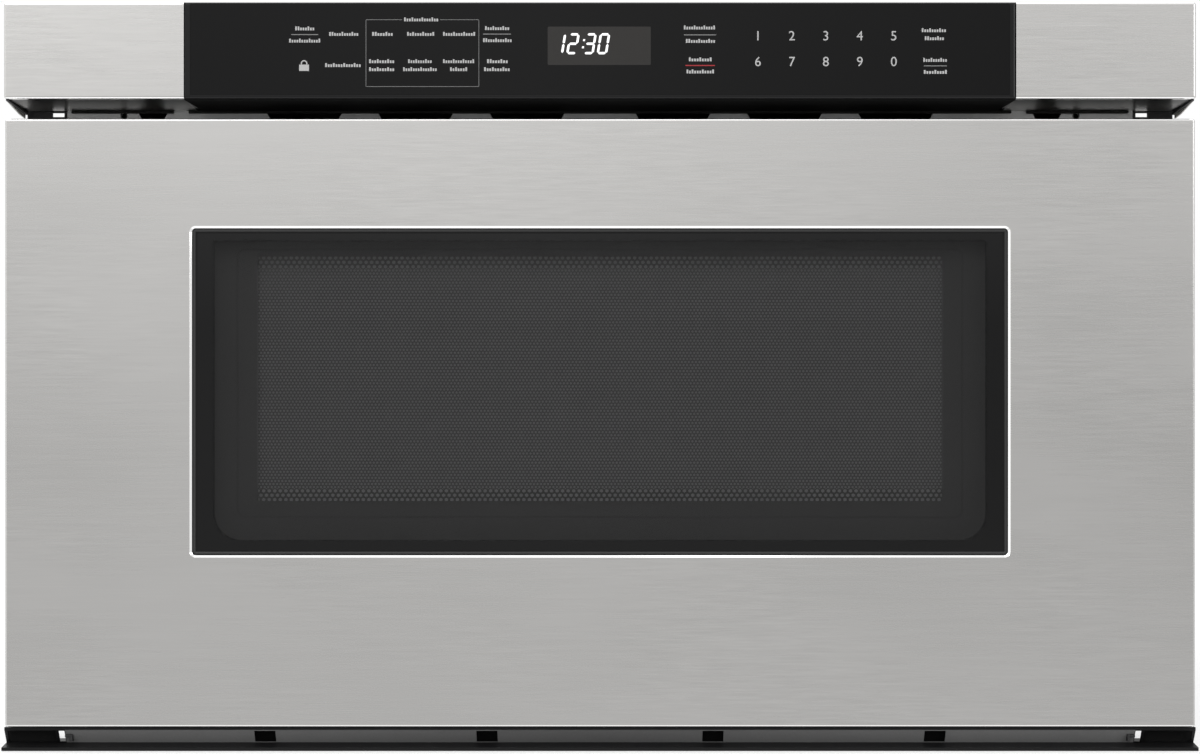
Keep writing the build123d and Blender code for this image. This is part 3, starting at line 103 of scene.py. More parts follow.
class Tree:
    """A node tree with short ways to add and join nodes."""

    def __init__(self, tree):
        self.tree = tree

    def add(self, kind, out=0, settings=None, **inputs):
        node = self.tree.nodes.new("ShaderNode" + kind)
        for key, value in (settings or {}).items():
            setattr(node, key, value)
        for key, value in inputs.items():
            key = int(key[1:]) if key[0] == "i" and key[1:].isdigit() else key.replace("_", " ")
            self.put(node.inputs[key], value)
        return node.outputs[out] if out is not None else node

    def put(self, socket, value):
        if isinstance(value, bpy.types.NodeSocket):
            self.tree.links.new(value, socket)
        else:
            socket.default_value = value

    def math(self, operation, a, b=0.0, c=0.0, clamp=False):
        return self.add(
            "Math", settings={"operation": operation, "use_clamp": clamp}, i0=a, i1=b, i2=c
        )

    def mix(self, factor, a, b):
        node = self.add("Mix", None, {"data_type": "RGBA"})
        self.put(node.inputs["Factor"], factor)
        self.put(node.inputs["A"], a)
        self.put(node.inputs["B"], b)
        return node.outputs["Result"]

    def mix_value(self, factor, a, b):
        return self.add("Mix", "Result", {"data_type": "FLOAT"}, i0=factor, i2=a, i3=b)

    def scaled(self, scale):
        place = self.add("TexCoord", out="Object")
        return self.add("Mapping", Vector=place, Scale=scale)

    def noise(self, scale, detail=4.0, roughness=0.55):
        return self.add(
            "TexNoise", Vector=self.scaled(scale), Scale=1.0, Detail=detail, Roughness=roughness
        )

    def ramp(self, value, stops):
        """A piecewise line through (value, result) stops."""
        total = stops[0][1]
        for (x0, y0), (x1, y1) in zip(stops, stops[1:]):
            total = self.math("ADD", total, self.span(value, x0, x1, 0.0, y1 - y0))
        return total

    def span(self, value, low, high, to_low=0.0, to_high=1.0):
        return self.add("MapRange", Value=value, i1=low, i2=high, i3=to_low, i4=to_high)

    def between(self, value, low, high, soft):
        """1 between two values and 0 outside them, with a soft step inside each."""
        return self.math(
            "MULTIPLY", self.span(value, low, low + soft), self.span(value, high, high - soft)
        )


world = bpy.data.worlds.new("room")
scene.world = world
world.use_nodes = True
world.node_tree.nodes.clear()
room = Tree(world.node_tree)
path = room.add("LightPath", None)
toward = room.add("SeparateXYZ", None, Vector=room.add("TexCoord", out="Generated"))
rise = room.ramp(
    toward.outputs["Z"],
    (
        (-1.0, 1.15),
        (-0.72, 1.08),
        (-0.5, 0.82),
        (-0.2, 0.66),
        (-0.05, 0.55),
        (0.06, 0.56),
        (0.13, 0.84),
        (0.22, 1.02),
        (0.5, 1.14),
        (1.0, 1.2),
    ),
)
sideways = room.ramp(toward.outputs["X"], ((-0.3, 0.92), (-0.03, 1.12), (0.26, 0.75)))
lean = room.mix_value(room.span(toward.outputs["Z"], -0.10, 0.0), 1.0, sideways)
seen = room.math("MULTIPLY", rise, lean)
flank = room.math(
    "MAXIMUM",
    room.span(toward.outputs["X"], -0.62, -0.80, 0.0, 1.12),
    room.span(toward.outputs["X"], 0.62, 0.80, 0.0, 0.86),
)
seen = room.math("MAXIMUM", seen, flank)
seen = room.math("MULTIPLY", seen, room.span(toward.outputs["Y"], -0.25, 0.35, 1.0, 0.70))
seen = room.add("CombineColor", i0=seen, i1=seen, i2=seen)
mirrored = room.math(
    "MAXIMUM", path.outputs["Is Glossy Ray"], path.outputs["Is Transmission Ray"]
)
light = room.mix(mirrored, (0.60, 0.60, 0.60, 1), seen)
light = room.mix(path.outputs["Is Camera Ray"], light, (1, 1, 1, 1))
room.put(
    room.add("OutputWorld", None).inputs["Surface"],
    room.add("Background", Color=light, Strength=1.0),
)


# ---------------------------------------------------------------- materials
def colour(*rgb):
    return (*rgb, 1.0)


class Finish(Tree):
    """A material: its colour, roughness and relief come from noise laid over the piece."""

    def __init__(self, name, base, rough, metal=0.0, ior=1.5, **sockets):
        self.material = bpy.data.materials.new(name)
        self.material.use_nodes = True
        super().__init__(self.material.node_tree)
        self.shader = self.tree.nodes["Principled BSDF"]
        self.colour, self.rough, self.height = base, rough, None
        for key, value in {"Metallic": metal, "IOR": ior, **sockets}.items():
            self.shader.inputs[key.replace("_", " ")].default_value = value

    def tint(self, fac, by, centre=0.5):
        """Makes the colour lighter where fac is high and darker where it is low."""
        gain = self.math("MULTIPLY_ADD", self.math("SUBTRACT", fac, centre), 2 * by, 1.0)
        self.colour = self.add(
            "VectorMath", settings={"operation": "MULTIPLY"}, i0=self.as_vector(self.colour), i1=gain
        )
        return self

    def as_vector(self, value):
        if isinstance(value, bpy.types.NodeSocket):
            return value
        return self.add("CombineColor", i0=value[0], i1=value[1], i2=value[2])

    def over(self, mask, other):
        """Lays another colour over the present one where the mask is 1."""
        self.colour = self.mix(mask, self.colour, other)
        return self

    def gloss(self, fac, by):
        """Makes the surface rougher where fac is high."""
        offset = self.math("MULTIPLY_ADD", self.math("SUBTRACT", fac, 0.5), 2 * by, 0.0)
        self.rough = self.math("ADD", self.rough, offset, clamp=True)
        return self

    def bump(self, fac, depth):
        """Relief of this depth in metres."""
        scaled = self.math("MULTIPLY", fac, depth)
        self.height = scaled if self.height is None else self.math("ADD", self.height, scaled)
        return self

    def done(self):
        self.put(self.shader.inputs["Base Color"], self.colour)
        self.put(self.shader.inputs["Roughness"], self.rough)
        if self.height is not None:
            relief = self.add("Bump", Height=self.height, Strength=1.0, Distance=1.0)
            self.put(self.shader.inputs["Normal"], relief)
        return self.material

    def place(self):
        """Where a point of the piece lies, as X, Y and Z."""
        return self.add("SeparateXYZ", None, Vector=self.add("TexCoord", out="Object")).outputs

    def facing(self):
        """Which way its surface faces there, as X, Y and Z."""
        return self.add("SeparateXYZ", None, Vector=self.add("NewGeometry", out="Normal")).outputs

    def rounded_box(self, middle_x, middle_z, half_x, half_z, radius):
        """Signed distance in X and Z to a rounded rectangle, negative inside it."""
        at = self.place()

        def past(value, middle, half):
            away = self.math("ABSOLUTE", self.math("SUBTRACT", value, middle))
            return self.math("SUBTRACT", away, half - radius)

        dx, dz = past(at["X"], middle_x, half_x), past(at["Z"], middle_z, half_z)
        ox, oz = self.math("MAXIMUM", dx, 0.0), self.math("MAXIMUM", dz, 0.0)
        squares = self.math("ADD", self.math("MULTIPLY", ox, ox), self.math("MULTIPLY", oz, oz))
        outer = self.math("SQRT", squares)
        inner = self.math("MINIMUM", self.math("MAXIMUM", dx, dz), 0.0)
        return self.math("SUBTRACT", self.math("ADD", outer, inner), radius)


def plain(name, base, rough, metal=0.0, size=0.004, shade=0.06, gloss=0.06, relief=2e-5, **sockets):
    """A moulded or coated surface: broad clouding, fine texture and a little relief."""
    f = Finish(name, base, rough, metal, **sockets)
    fine = f.noise((1 / size,) * 3, 5)
    broad = f.noise((9, 9, 9), 3)
    return f.tint(fine, shade).tint(broad, shade).gloss(broad, gloss).bump(fine, relief).done()


def streaked(name, base, rough, along, metal=1.0, fine=2600.0, shade=0.03, relief=1.2e-6, **sockets):
    """Metal with a drawn or brushed grain along one axis."""
    f = Finish(name, base, rough, metal, **sockets)
    short = [fine] * 3
    short[along] = fine / 110
    longer = [fine / 7] * 3
    longer[along] = fine / 450
    grain = f.noise(tuple(short), 3, 0.6)
    bands = f.noise(tuple(longer), 2)
    smears = f.noise((7, 7, 16), 3, 0.5)
    f.tint(grain, shade).tint(bands, shade * 0.6).tint(smears, shade * 0.5)
    return f.gloss(grain, 0.05).gloss(smears, 0.05).bump(grain, relief).bump(bands, relief)


def steel_finish(name, half, low, high):
    """Brushed stainless with horizontal wisps, with a painted highlight on a smoother surface along the
    folded edges of its front face, and painted shade on its underside near the front.

    The piece reaches half its width to each side, and from low to high."""
    f = streaked(name, colour(0.66, 0.652, 0.638), 0.28, 0, fine=2600.0)
    wisps = f.noise((55, 55, 950), 2, 0.5)
    patches = f.span(f.noise((9, 9, 14), 2), 0.42, 0.62)
    f.tint(f.math("MULTIPLY", f.math("SUBTRACT", wisps, 0.5), patches), 0.10, 0.0)
    at = f.place()
    under = f.span(f.facing()["Z"], -0.97, -0.995)
    f.rough = f.math("SUBTRACT", f.rough, f.math("MULTIPLY", under, -0.05), clamp=True)
    # painted shade: the underside is darkened near its front edge, where it would mirror the dark gap
    # below it
    darker = f.span(at["Y"], FRONT + 0.004, FRONT + 0.024, -1.0, 0.0)
    f.tint(f.math("MULTIPLY", under, darker), 0.38, 0.0)
    aside = f.math("ABSOLUTE", at["X"])
    # painted highlight: a bright band along the folded top, bottom and side edges of the front face
    front = f.span(at["Y"], FRONT + 0.0035, FRONT + 0.003)
    level, beside, soft = 0.0009, 0.0002, 0.0001
    edge = f.math(
        "MAXIMUM",
        f.span(at["Z"], low + level, low + level - soft),
        f.span(at["Z"], high - level, high - level + soft),
    )
    edge = f.math("MAXIMUM", edge, f.span(aside, half - beside, half - beside + soft))
    return paint_highlight(f, f.math("MULTIPLY", edge, front))


def paint_highlight(f, mask):
    """A painted highlight where the mask is 1: a colour brighter than the steel's own, on a smooth
    surface without grain.
    """
    f.over(mask, colour(0.96, 0.96, 0.955))
    f.rough = f.math("MULTIPLY", f.rough, f.math("MULTIPLY_ADD", mask, -0.72, 1.0))
    f.height = f.math("MULTIPLY", f.height, f.math("SUBTRACT", 1.0, mask))
    return f


rim_highlight_width = 0.0011
low_glass, high_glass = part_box("window_glass")
glass_margin = 0.008  # how far the glass reaches behind the sheet round it
window_x = high_glass.x - glass_margin
window_z = (low_glass.z + glass_margin, high_glass.z - glass_margin)
WINDOW = (0.0, sum(window_z) / 2, window_x, (window_z[1] - window_z[0]) / 2, 0.002)

strip_low, strip_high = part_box("panel_trim_right")[0].z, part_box("panel_trim_right")[1].z
stainless = steel_finish("stainless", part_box("panel_trim_right")[1].x, strip_low, strip_high).done()
door_low, door_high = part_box("door_skin")
door_steel = steel_finish("stainless_front", door_high.x, door_low.z, door_high.z)
# painted highlight: a bright band round the cut edge of the window
to_window = door_steel.rounded_box(*WINDOW)
door_steel = paint_highlight(door_steel, door_steel.span(to_window, rim_highlight_width, rim_highlight_width - 0.0001)).done()


def spangled(name, base, metal):
    """Hot-dip zinc: large pale crystals with soft edges."""
    f = Finish(name, base, 0.46, metal)
    cells = f.add("TexVoronoi", None, Vector=f.scaled((75, 75, 75)), Scale=1.0, Randomness=1.0)
    tone = f.add("SeparateColor", Color=cells.outputs["Color"])
    fine = f.noise((420, 420, 420), 4)
    broad = f.noise((6, 6, 6), 3)
    f.tint(tone, 0.055).tint(fine, 0.03).tint(broad, 0.05)
    return f.gloss(tone, 0.05).gloss(fine, 0.03).bump(fine, 6e-6).done()


def wound(name):
    """Varnished copper wire in level turns."""
    f = Finish(name, colour(0.50, 0.20, 0.085), 0.32, 0.75)
    turns = f.add(
        "TexWave",
        settings={"wave_type": "BANDS", "bands_direction": "Z", "wave_profile": "SIN"},
        Vector=f.scaled((1, 1, 1)),
        Scale=370.0,
        Distortion=0.25,
    )
    broad = f.noise((60, 60, 60), 4)
    return f.tint(turns, 0.35).tint(broad, 0.12).gloss(broad, 0.1).bump(turns, 2.5e-4).done()


def board(name, node=None):
    """Green solder mask with paler tracks and tinned pads; what stands on a node's board is dark."""
    f = Finish(name, colour(0.030, 0.115, 0.050), 0.34)
    bare = 1.0
    if node:
        levels = sorted({round(v.co.z, 4) for v in nodes[node].data.vertices})
        face = levels[2]  # only the feet of its stand-offs and its underside lie lower
        bare = f.math("SUBTRACT", 1.0, f.span(f.place()["Z"], face, face + 0.00015))
    tracks = f.add(
        "TexBrick",
        "Color",
        Vector=f.scaled((1, 1, 1)),
        Scale=55.0,
        Color1=colour(0, 0, 0),
        Color2=colour(0, 0, 0),
        Mortar=colour(1, 1, 1),
        i4=0.05,
    )
    pads = f.add("TexVoronoi", Vector=f.scaled((260, 260, 260)), Scale=1.0, Randomness=0.35)
    pad = f.math("MULTIPLY", f.span(pads, 0.16, 0.10), bare)
    tracks = f.math("MULTIPLY", tracks, bare)
    f.over(tracks, colour(0.06, 0.20, 0.085)).over(pad, colour(0.55, 0.56, 0.54))
    f.over(f.math("SUBTRACT", 1.0, bare), colour(0.022, 0.024, 0.030))
    fine = f.noise((900, 900, 900), 3)
    return f.tint(fine, 0.06).gloss(fine, 0.06).bump(tracks, 2e-5).bump(pad, 6e-5).done()


def lens_glass(name, base, alpha, **sockets):
    f = Finish(name, base, 0.03, Alpha=alpha, **sockets)
    broad = f.noise((25, 25, 25), 3)
    return f.tint(broad, 0.05).gloss(broad, 0.015)


zinc = spangled("zinc_sheet", colour(0.50, 0.51, 0.52), 0.55)
# a paler copy of the zinc for the front frame: painted light, so the frame reads lit in the shaded gap
# under the strip
lit_frame_zinc = spangled("zinc_frame_lit", colour(0.70, 0.705, 0.71), 0.35)
black_steel = plain(
    "black_steel", colour(0.016, 0.016, 0.017), 0.42, size=0.0012, relief=1.5e-5, ior=1.4
)
enamel = plain("cavity_enamel", colour(0.36, 0.36, 0.352), 0.24, size=0.0022, shade=0.05, relief=1e-5)
dark_steel = plain("dark_steel", colour(0.10, 0.10, 0.11), 0.42, 0.8, size=0.003, relief=1.5e-5)
slide_steel = streaked("slide_steel", colour(0.66, 0.67, 0.68), 0.26, 1, fine=1500.0, shade=0.05).done()
screw_zinc = plain(
    "zinc_screw", colour(0.68, 0.68, 0.66), 0.26, 1.0, size=0.0008, shade=0.08, relief=6e-6
)
fin_metal = streaked("fin_aluminium", colour(0.72, 0.73, 0.74), 0.30, 0, fine=1400.0, shade=0.05).done()
copper = wound("copper_winding")
trim_steel = Finish("trim_steel", colour(0.009, 0.009, 0.0095), 0.42, 0.0, ior=1.3)
# painted light: faces that lean out toward their top get a grey colour, lighter toward the ends,
# standing in for the bright floor they face; the rest stays black
facing = trim_steel.facing()["Z"]
lit_leaning_face = trim_steel.between(facing, -0.8, -0.2, 0.1)
beside = trim_steel.math("ABSOLUTE", trim_steel.place()["X"])
lit_leaning_face = trim_steel.math("MULTIPLY", lit_leaning_face, trim_steel.span(beside, 0.2735, 0.2733))
lit_leaning_face = trim_steel.math("MULTIPLY", lit_leaning_face, trim_steel.span(beside, 0.0, 0.27, 0.75, 1.1))
specks = trim_steel.noise((900, 900, 900), 4)
trim_steel.over(lit_leaning_face, colour(0.24, 0.24, 0.24)).tint(specks, 0.08).gloss(specks, 0.06)
trim_steel = trim_steel.bump(specks, 1.5e-5).done()
black_plastic = plain("black_plastic", colour(0.020, 0.020, 0.021), 0.50, size=0.0009, relief=2.5e-5)
gloss_black = plain(
    "gloss_black",
    colour(0.004, 0.004, 0.0045),
    0.10,
    size=0.006,
    shade=0.10,
    gloss=0.02,
    relief=2e-6,
    ior=1.36,
)
nylon = plain("white_plastic", colour(0.72, 0.71, 0.67), 0.42, size=0.003, shade=0.03, relief=1e-5)
green_board = board("circuit_board")
relay_finish = board("relay_circuit_board", "relay_board")
panel_glass = lens_glass("black_glass", colour(0.0012, 0.0012, 0.0014), 1.0, ior=1.295).done()
smoked = lens_glass("smoked_lens", colour(0.030, 0.028, 0.026), 1.0, ior=1.36).done()
clear_glass = lens_glass("clear_glass", colour(0.10, 0.115, 0.11), 0.22).done()
opal = plain(
    "ceramic_glass", colour(0.66, 0.65, 0.62), 0.12, size=0.02, shade=0.03, gloss=0.03, relief=4e-6
)
felt_black = plain(
    "black_felt", colour(0.014, 0.014, 0.014), 0.85, size=0.0006, shade=0.25, relief=8e-5, ior=1.12
)
# a dark matte finish for the black strips that stand in for the shade at the back of the finger gap
shade_strip_black = plain("painted_shade_black", colour(0.012, 0.012, 0.012), 0.9, size=0.0007, shade=0.25, relief=1.2e-4)
seal_finish = Finish("window_seal", colour(0.0015, 0.0015, 0.0015), 0.5, ior=1.33)
# painted highlight: the raised bead of the black seal is given a lighter grey
bead_highlight = seal_finish.between(seal_finish.rounded_box(*WINDOW), -0.0019, -0.0006, 0.0001)
pores = seal_finish.noise((1500, 1500, 1500), 3)
seal_finish.over(bead_highlight, colour(0.045, 0.045, 0.045)).tint(pores, 0.08).gloss(pores, 0.06)
seal_finish = seal_finish.bump(pores, 6e-6).done()

# the outer window glass: printed black round its edge and across its top, tinted inside
CLEAR_AREA, TOP_PRINT = (0.0, 0.1934, 0.1970, 0.0866, 0.014), (0.2592, 0.2604)
window_tint = Finish("tinted_glass", colour(0.0012, 0.0012, 0.0014), 0.03, ior=1.43)
printed = window_tint.math(
    "MAXIMUM",
    window_tint.span(window_tint.rounded_box(*CLEAR_AREA), -0.0004, 0.0002),
    window_tint.span(window_tint.place()["Z"], *TOP_PRINT),
)
dust = window_tint.noise((30, 30, 30), 4)
window_tint.over(window_tint.math("MULTIPLY", dust, 0.3), colour(0.002, 0.002, 0.002)).gloss(dust, 0.02)
rays = window_tint.add("LightPath", None).outputs
passing = window_tint.math("MAXIMUM", rays["Is Diffuse Ray"], rays["Is Glossy Ray"])
passing = window_tint.math("MAXIMUM", rays["Is Shadow Ray"], passing)
printed = window_tint.math("MULTIPLY", printed, window_tint.math("SUBTRACT", 1.0, passing))
opacity = window_tint.math("MULTIPLY_ADD", printed, 0.70, 0.30)
window_tint.put(window_tint.shader.inputs["Alpha"], opacity)
window_tint = window_tint.done()

# the screen behind it: black sheet with a pressed line round the perforated field, darkened along the
# line as painted shade
FIELD_X, FIELD_LOW, FIELD_HIGH = 0.1767, 0.1263, 0.2530
FINE_LOW, FINE_HIGH = 0.1330, 0.2463  # the rows of small holes
PRESSED_LINE = (0.0, 0.1873, 0.1865, 0.0690, 0.004)
screen_black = Finish("screen_black", colour(0.100, 0.100, 0.100), 0.45, ior=1.4)
at = screen_black.place()
aside = screen_black.math("ABSOLUTE", at["X"])
in_field = screen_black.between(at["Z"], FINE_LOW, FINE_HIGH, 0.0003)
in_field = screen_black.math(
    "MULTIPLY", in_field, screen_black.span(aside, FIELD_X, FIELD_X - 0.0002)
)
screen_black.over(in_field, colour(0.145, 0.145, 0.145))
# painted shade: the colour is darkened along the pressed line, where shade would fall in its groove
line = screen_black.math("ABSOLUTE", screen_black.rounded_box(*PRESSED_LINE))
line = screen_black.span(line, 0.0009, 0.0002)
grit = screen_black.noise((700, 700, 700), 3)
screen_black.tint(grit, 0.10)
screen_black.over(screen_black.math("MULTIPLY", line, 0.22), colour(0.010, 0.010, 0.010))
screen_black = screen_black.gloss(grit, 0.08).bump(line, -6e-5).bump(grit, 8e-6).done()
film = Finish("screen_film", colour(0.70, 0.70, 0.70), 0.6)
fine_rows = film.between(film.place()["Z"], FINE_LOW, FINE_HIGH, 0.0003)
weave = film.noise((160, 160, 160), 3)
film = film.over(fine_rows, colour(0.62, 0.62, 0.62)).tint(weave, 0.06).gloss(weave, 0.05).done()
white_ink = plain("white_ink", colour(0.62, 0.62, 0.62), 0.5, size=0.0006, shade=0.08, relief=3e-6)
grey_ink = plain("grey_ink", colour(0.30, 0.30, 0.30), 0.5, size=0.0006, shade=0.08, relief=3e-6)
red_ink = plain("red_ink", colour(0.50, 0.030, 0.040), 0.5, size=0.0006, shade=0.08, relief=3e-6)
lit = Finish("lit_segments", colour(0.6, 0.6, 0.6), 0.4, Emission_Strength=0.9)
glow = lit.noise((500, 500, 500), 2)
lit.put(lit.shader.inputs["Emission Color"], lit.mix(glow, colour(0.86, 0.86, 0.86), colour(1, 1, 1)))
lit = lit.done()

FINISHES = {
    "stainless": stainless,
    "zinc_sheet": zinc,
    "black_steel": black_steel,
    "cavity_enamel": enamel,
    "dark_steel": dark_steel,
    "slide_steel": slide_steel,
    "zinc_screw": screw_zinc,
    "fin_aluminium": fin_metal,
    "copper_winding": copper,
    "black_plastic": black_plastic,
    "gloss_black": gloss_black,
    "white_plastic": nylon,
    "circuit_board": green_board,
    "black_glass": panel_glass,
    "smoked_lens": smoked,
    "tinted_glass": window_tint,
    "clear_glass": clear_glass,
    "ceramic_glass": opal,
}

OWN_FINISHES = {
    "door_skin": door_steel,
    "bottom_trim": trim_steel,
    "front_frame": lit_frame_zinc,
    "relay_board": relay_finish,
}
for part in frame["record"]["subparts"]:
    name = part["node"]
    nodes[name].data.materials.clear()
    nodes[name].data.materials.append(OWN_FINISHES.get(name) or FINISHES[part["material_slot"]])


# ---------------------------------------------------------------- making pieces
def piece(name, points, faces, body, material, smooth=False):
    """A mesh object that rides on a body."""
    mesh = bpy.data.meshes.new(name)
    mesh.from_pydata([tuple(p) for p in points], [], [tuple(f) for f in faces])
    mesh.validate()
    if smooth:
        mesh.shade_smooth()
    mesh.materials.append(material)
    obj = bpy.data.objects.new(name, mesh)
    scene.collection.objects.link(obj)
    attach(obj, body)
    return obj


class Solid:
    """Gathers several closed shapes for one piece."""

    def __init__(self):
        self.points, self.faces = [], []

    def put(self, points, faces):
        start = len(self.points)
        self.points += [tuple(p) for p in points]
        self.faces += [tuple(i + start for i in f) for f in faces]
        return self

    def prism(self, outline, low, high, axis=1):
        """An outline extruded along an axis. The outline's two values are the other axes, in order."""
        n = len(outline)

        def at(p, d):
            q = list(p)
            q.insert(axis, d)
            return q

        points = [at(p, low) for p in outline] + [at(p, high) for p in outline]
        faces = [tuple(range(n)), tuple(range(2 * n - 1, n - 1, -1))]
        faces += [(i, i + n, (i + 1) % n + n, (i + 1) % n) for i in range(n)]
        return self.put(points, faces)

    def box(self, x, y, z):
        return self.prism([(x[0], z[0]), (x[1], z[0]), (x[1], z[1]), (x[0], z[1])], y[0], y[1])

    def sweep(self, loops):
        """Closed loops of equal length joined in a ring, the last to the first."""
        n, m = len(loops[0]), len(loops)
        points = [p for loop in loops for p in loop]
        faces = []
        for k in range(m):
            for i in range(n):
                a, b = k * n + i, k * n + (i + 1) % n
                c, d = ((k + 1) % m) * n + (i + 1) % n, ((k + 1) % m) * n + i
                faces.append((a, b, c, d))
        return self.put(points, faces)

    def lathe(self, centre, along, profile, segments=24):
        """A profile of (radius, distance) turned round an axis; ends with radius 0 close it."""
        along = Vector(along).normalized()
        side = along.orthogonal().normalized()
        other = along.cross(side)
        points, faces, rows = [], [], []
        for radius, distance in profile:
            if radius < 1e-9:
                rows.append([len(points)])
                points.append(Vector(centre) + along * distance)
                continue
            row = []
            for i in range(segments):
                turn = 2 * pi * i / segments
                across = side * radius * cos(turn) + other * radius * sin(turn)
                row.append(len(points))
                points.append(Vector(centre) + along * distance + across)
            rows.append(row)
        for a, b in zip(rows, rows[1:]):
            if len(a) == 1 and len(b) == 1:
                continue
            for i in range(segments):
                j = (i + 1) % segments
                if len(a) == 1:
                    faces.append((a[0], b[j], b[i]))
                elif len(b) == 1:
                    faces.append((a[i], a[j], b[0]))
                else:
                    faces.append((a[i], a[j], b[j], b[i]))
        return self.put(points, faces)

    def make(self, name, body, material, smooth=False, slot=None, bevel=0.0):
        """One piece of all the shapes gathered so far, with its faces turned outwards."""
        obj = piece(name, self.points, self.faces, body, material, smooth)
        made = bmesh.new()
        made.from_mesh(obj.data)
        bmesh.ops.recalc_face_normals(made, faces=made.faces)
        made.to_mesh(obj.data)
        made.free()
        if bevel:
            edge = obj.modifiers.new("edge", "BEVEL")
            edge.width, edge.segments, edge.limit_method = bevel, 2, "ANGLE"
        return obj


def round_loop(half_x, low, high, radius, y, arc=6):
    """A rounded rectangle in X and Z, as a loop of points at a depth y."""
    points = []
    for cx, cz, start in (
        (half_x - radius, high - radius, 0),
        (-half_x + radius, high - radius, 90),
        (-half_x + radius, low + radius, 180),
        (half_x - radius, low + radius, 270),
    ):
        for i in range(arc + 1):
            a = radians(start + 90 * i / arc)
            points.append((cx + radius * cos(a), y, cz + radius * sin(a)))
    return points


def rounded_outline(half_x, low, high, radius, middle=0.0):
    """The same rounded rectangle as an outline for a prism, moved to a middle in X."""
    return [(p[0] + middle, p[2]) for p in round_loop(half_x, low, high, radius, 0)]


# ---- window: seal round the glass, perforated screen and the film behind it ----
def seal_loop(inset, proud):
    """One line of the seal, this far inside the opening and proud of the glass."""
    radius = max(0.0021 - inset, 0.0004)
    return round_loop(
        window_x - inset, window_z[0] + inset, window_z[1] - inset, radius, low_glass.y - proud
    )


seal = Solid()
seal.sweep(
    [
        seal_loop(inset, proud)
        for inset, proud in (
            (0.0001, 0.0),
            (0.0001, 0.0001),
            (0.0006, 0.0001),
            (0.0007, 0.0006),
            (0.0012, 0.0007),
            (0.0018, 0.0004),
            (0.0019, 0.0001),
            (0.0027, 0.0001),
            (0.0027, 0.0),
        )
    ]
)
seal.make("window_seal", "drawer", seal_finish, slot="black_plastic")

sheet_low, sheet_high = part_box("perforated_screen")
field_y = sheet_low.y


def hole_rows(low, high, pitch):
    """Centres of staggered holes between two heights, with a vertex-up hexagonal cell round each."""
    step = pitch * 3**0.5 / 2
    rows = max(1, round((high - low) / step))
    step = (high - low) / rows
    columns = int(2 * FIELD_X / pitch)
    wide = 2 * FIELD_X / columns
    return [
        (-FIELD_X + wide * (i + 0.25 + 0.5 * (r % 2)), low + step * (r + 0.5), wide, step)
        for r in range(rows)
        for i in range(columns)
    ]


def perforated(cells, share):
    """A thin sheet of hexagonal cells, each with a hexagonal hole that is a share of its cell."""
    corner = np.array(
        [(0.0, 2 / 3), (-0.5, 1 / 3), (-0.5, -1 / 3), (0.0, -2 / 3), (0.5, -1 / 3), (0.5, 1 / 3)]
    )
    at, size = np.array(cells)[:, None, :2], np.array(cells)[:, None, 2:]
    outer = at + corner[None] * size
    inner = at + corner[None] * size * share
    both = np.concatenate([outer, inner], axis=1).reshape(-1, 2)
    keys = np.round(both * 2e6).astype(np.int64)  # corners within half a micrometre are one point
    _, first, index = np.unique(keys, axis=0, return_index=True, return_inverse=True)
    index = index.reshape(-1, 12)
    both = both[first]
    points = np.stack([both[:, 0], np.full(len(both), field_y), both[:, 1]], axis=1)
    quads = []
    for k in range(6):
        after = (k + 1) % 6
        corners = [k, after, 6 + after, 6 + k]
        quads.append(np.stack([index[:, c] for c in corners], axis=1))
    return points, np.concatenate(quads)


coarse_pitch, fine_pitch, hole_share = 0.00283, 0.00181, 0.62
band = 0.0068  # height of the rows of large holes, at the top and at the bottom
cells = hole_rows(FIELD_LOW, FIELD_LOW + band, coarse_pitch)
cells += hole_rows(FIELD_HIGH - band, FIELD_HIGH, coarse_pitch)
cells += hole_rows(FIELD_LOW + band, FIELD_HIGH - band, fine_pitch)
points, quads = perforated(cells, hole_share)
points, quads = points.tolist(), quads.tolist()
sheet = piece("perforated_field", points, quads, "drawer", screen_black)
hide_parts("perforated_screen")

inside = (FIELD_X - 0.0006, FIELD_LOW + 0.0004, FIELD_HIGH - 0.0004, 0.0005)
outside = (sheet_high.x + 0.0125, sheet_low.z - 0.0085, sheet_high.z + 0.0085, 0.0060)
border_front = field_y - 0.00005
border = Solid()
border.sweep(
    [
        round_loop(*inside, border_front),
        round_loop(*outside, border_front),
        round_loop(*outside, sheet_high.y),
        round_loop(*inside, sheet_high.y),
    ]
)
border.make("screen_border", "drawer", screen_black, slot="black_steel")
backing = Solid()
backing.prism(
    rounded_outline(FIELD_X + 0.002, FIELD_LOW - 0.002, FIELD_HIGH + 0.002, 0.001),
    sheet_high.y + 0.0004,
    sheet_high.y + 0.0006,
)
backing.make("screen_film", "drawer", film, slot="white_plastic")

# ---- control panel: marks, digits and clock ----
INK_BACK, INK_FRONT = FRONT + 0.00002, FRONT - 0.00003
PX = 0.000508  # metres of the front plane to a pixel of the photograph
PIXEL_X, PIXEL_Z = 600.0, 751.3


def at_x(px):
    return (px - PIXEL_X) * PX


def at_z(py):
    return (PIXEL_Z - py) * PX


def dashes(solid, x0, x1, z, height):
    """A row of small upright marks, some taller than the rest."""
    pitch, gap, taller = 0.00125, 0.00042, 0.0006
    count = max(3, round((x1 - x0) / pitch))
    step = (x1 - x0 + gap) / count
    for i in range(count):
        top = z + height / 2 + (taller if i == 0 or (i * 5 + count) % 4 == 1 else 0.0)
        left = x0 + step * i
        solid.box((left, left + step - gap), (INK_FRONT, INK_BACK), (z - height / 2, top))


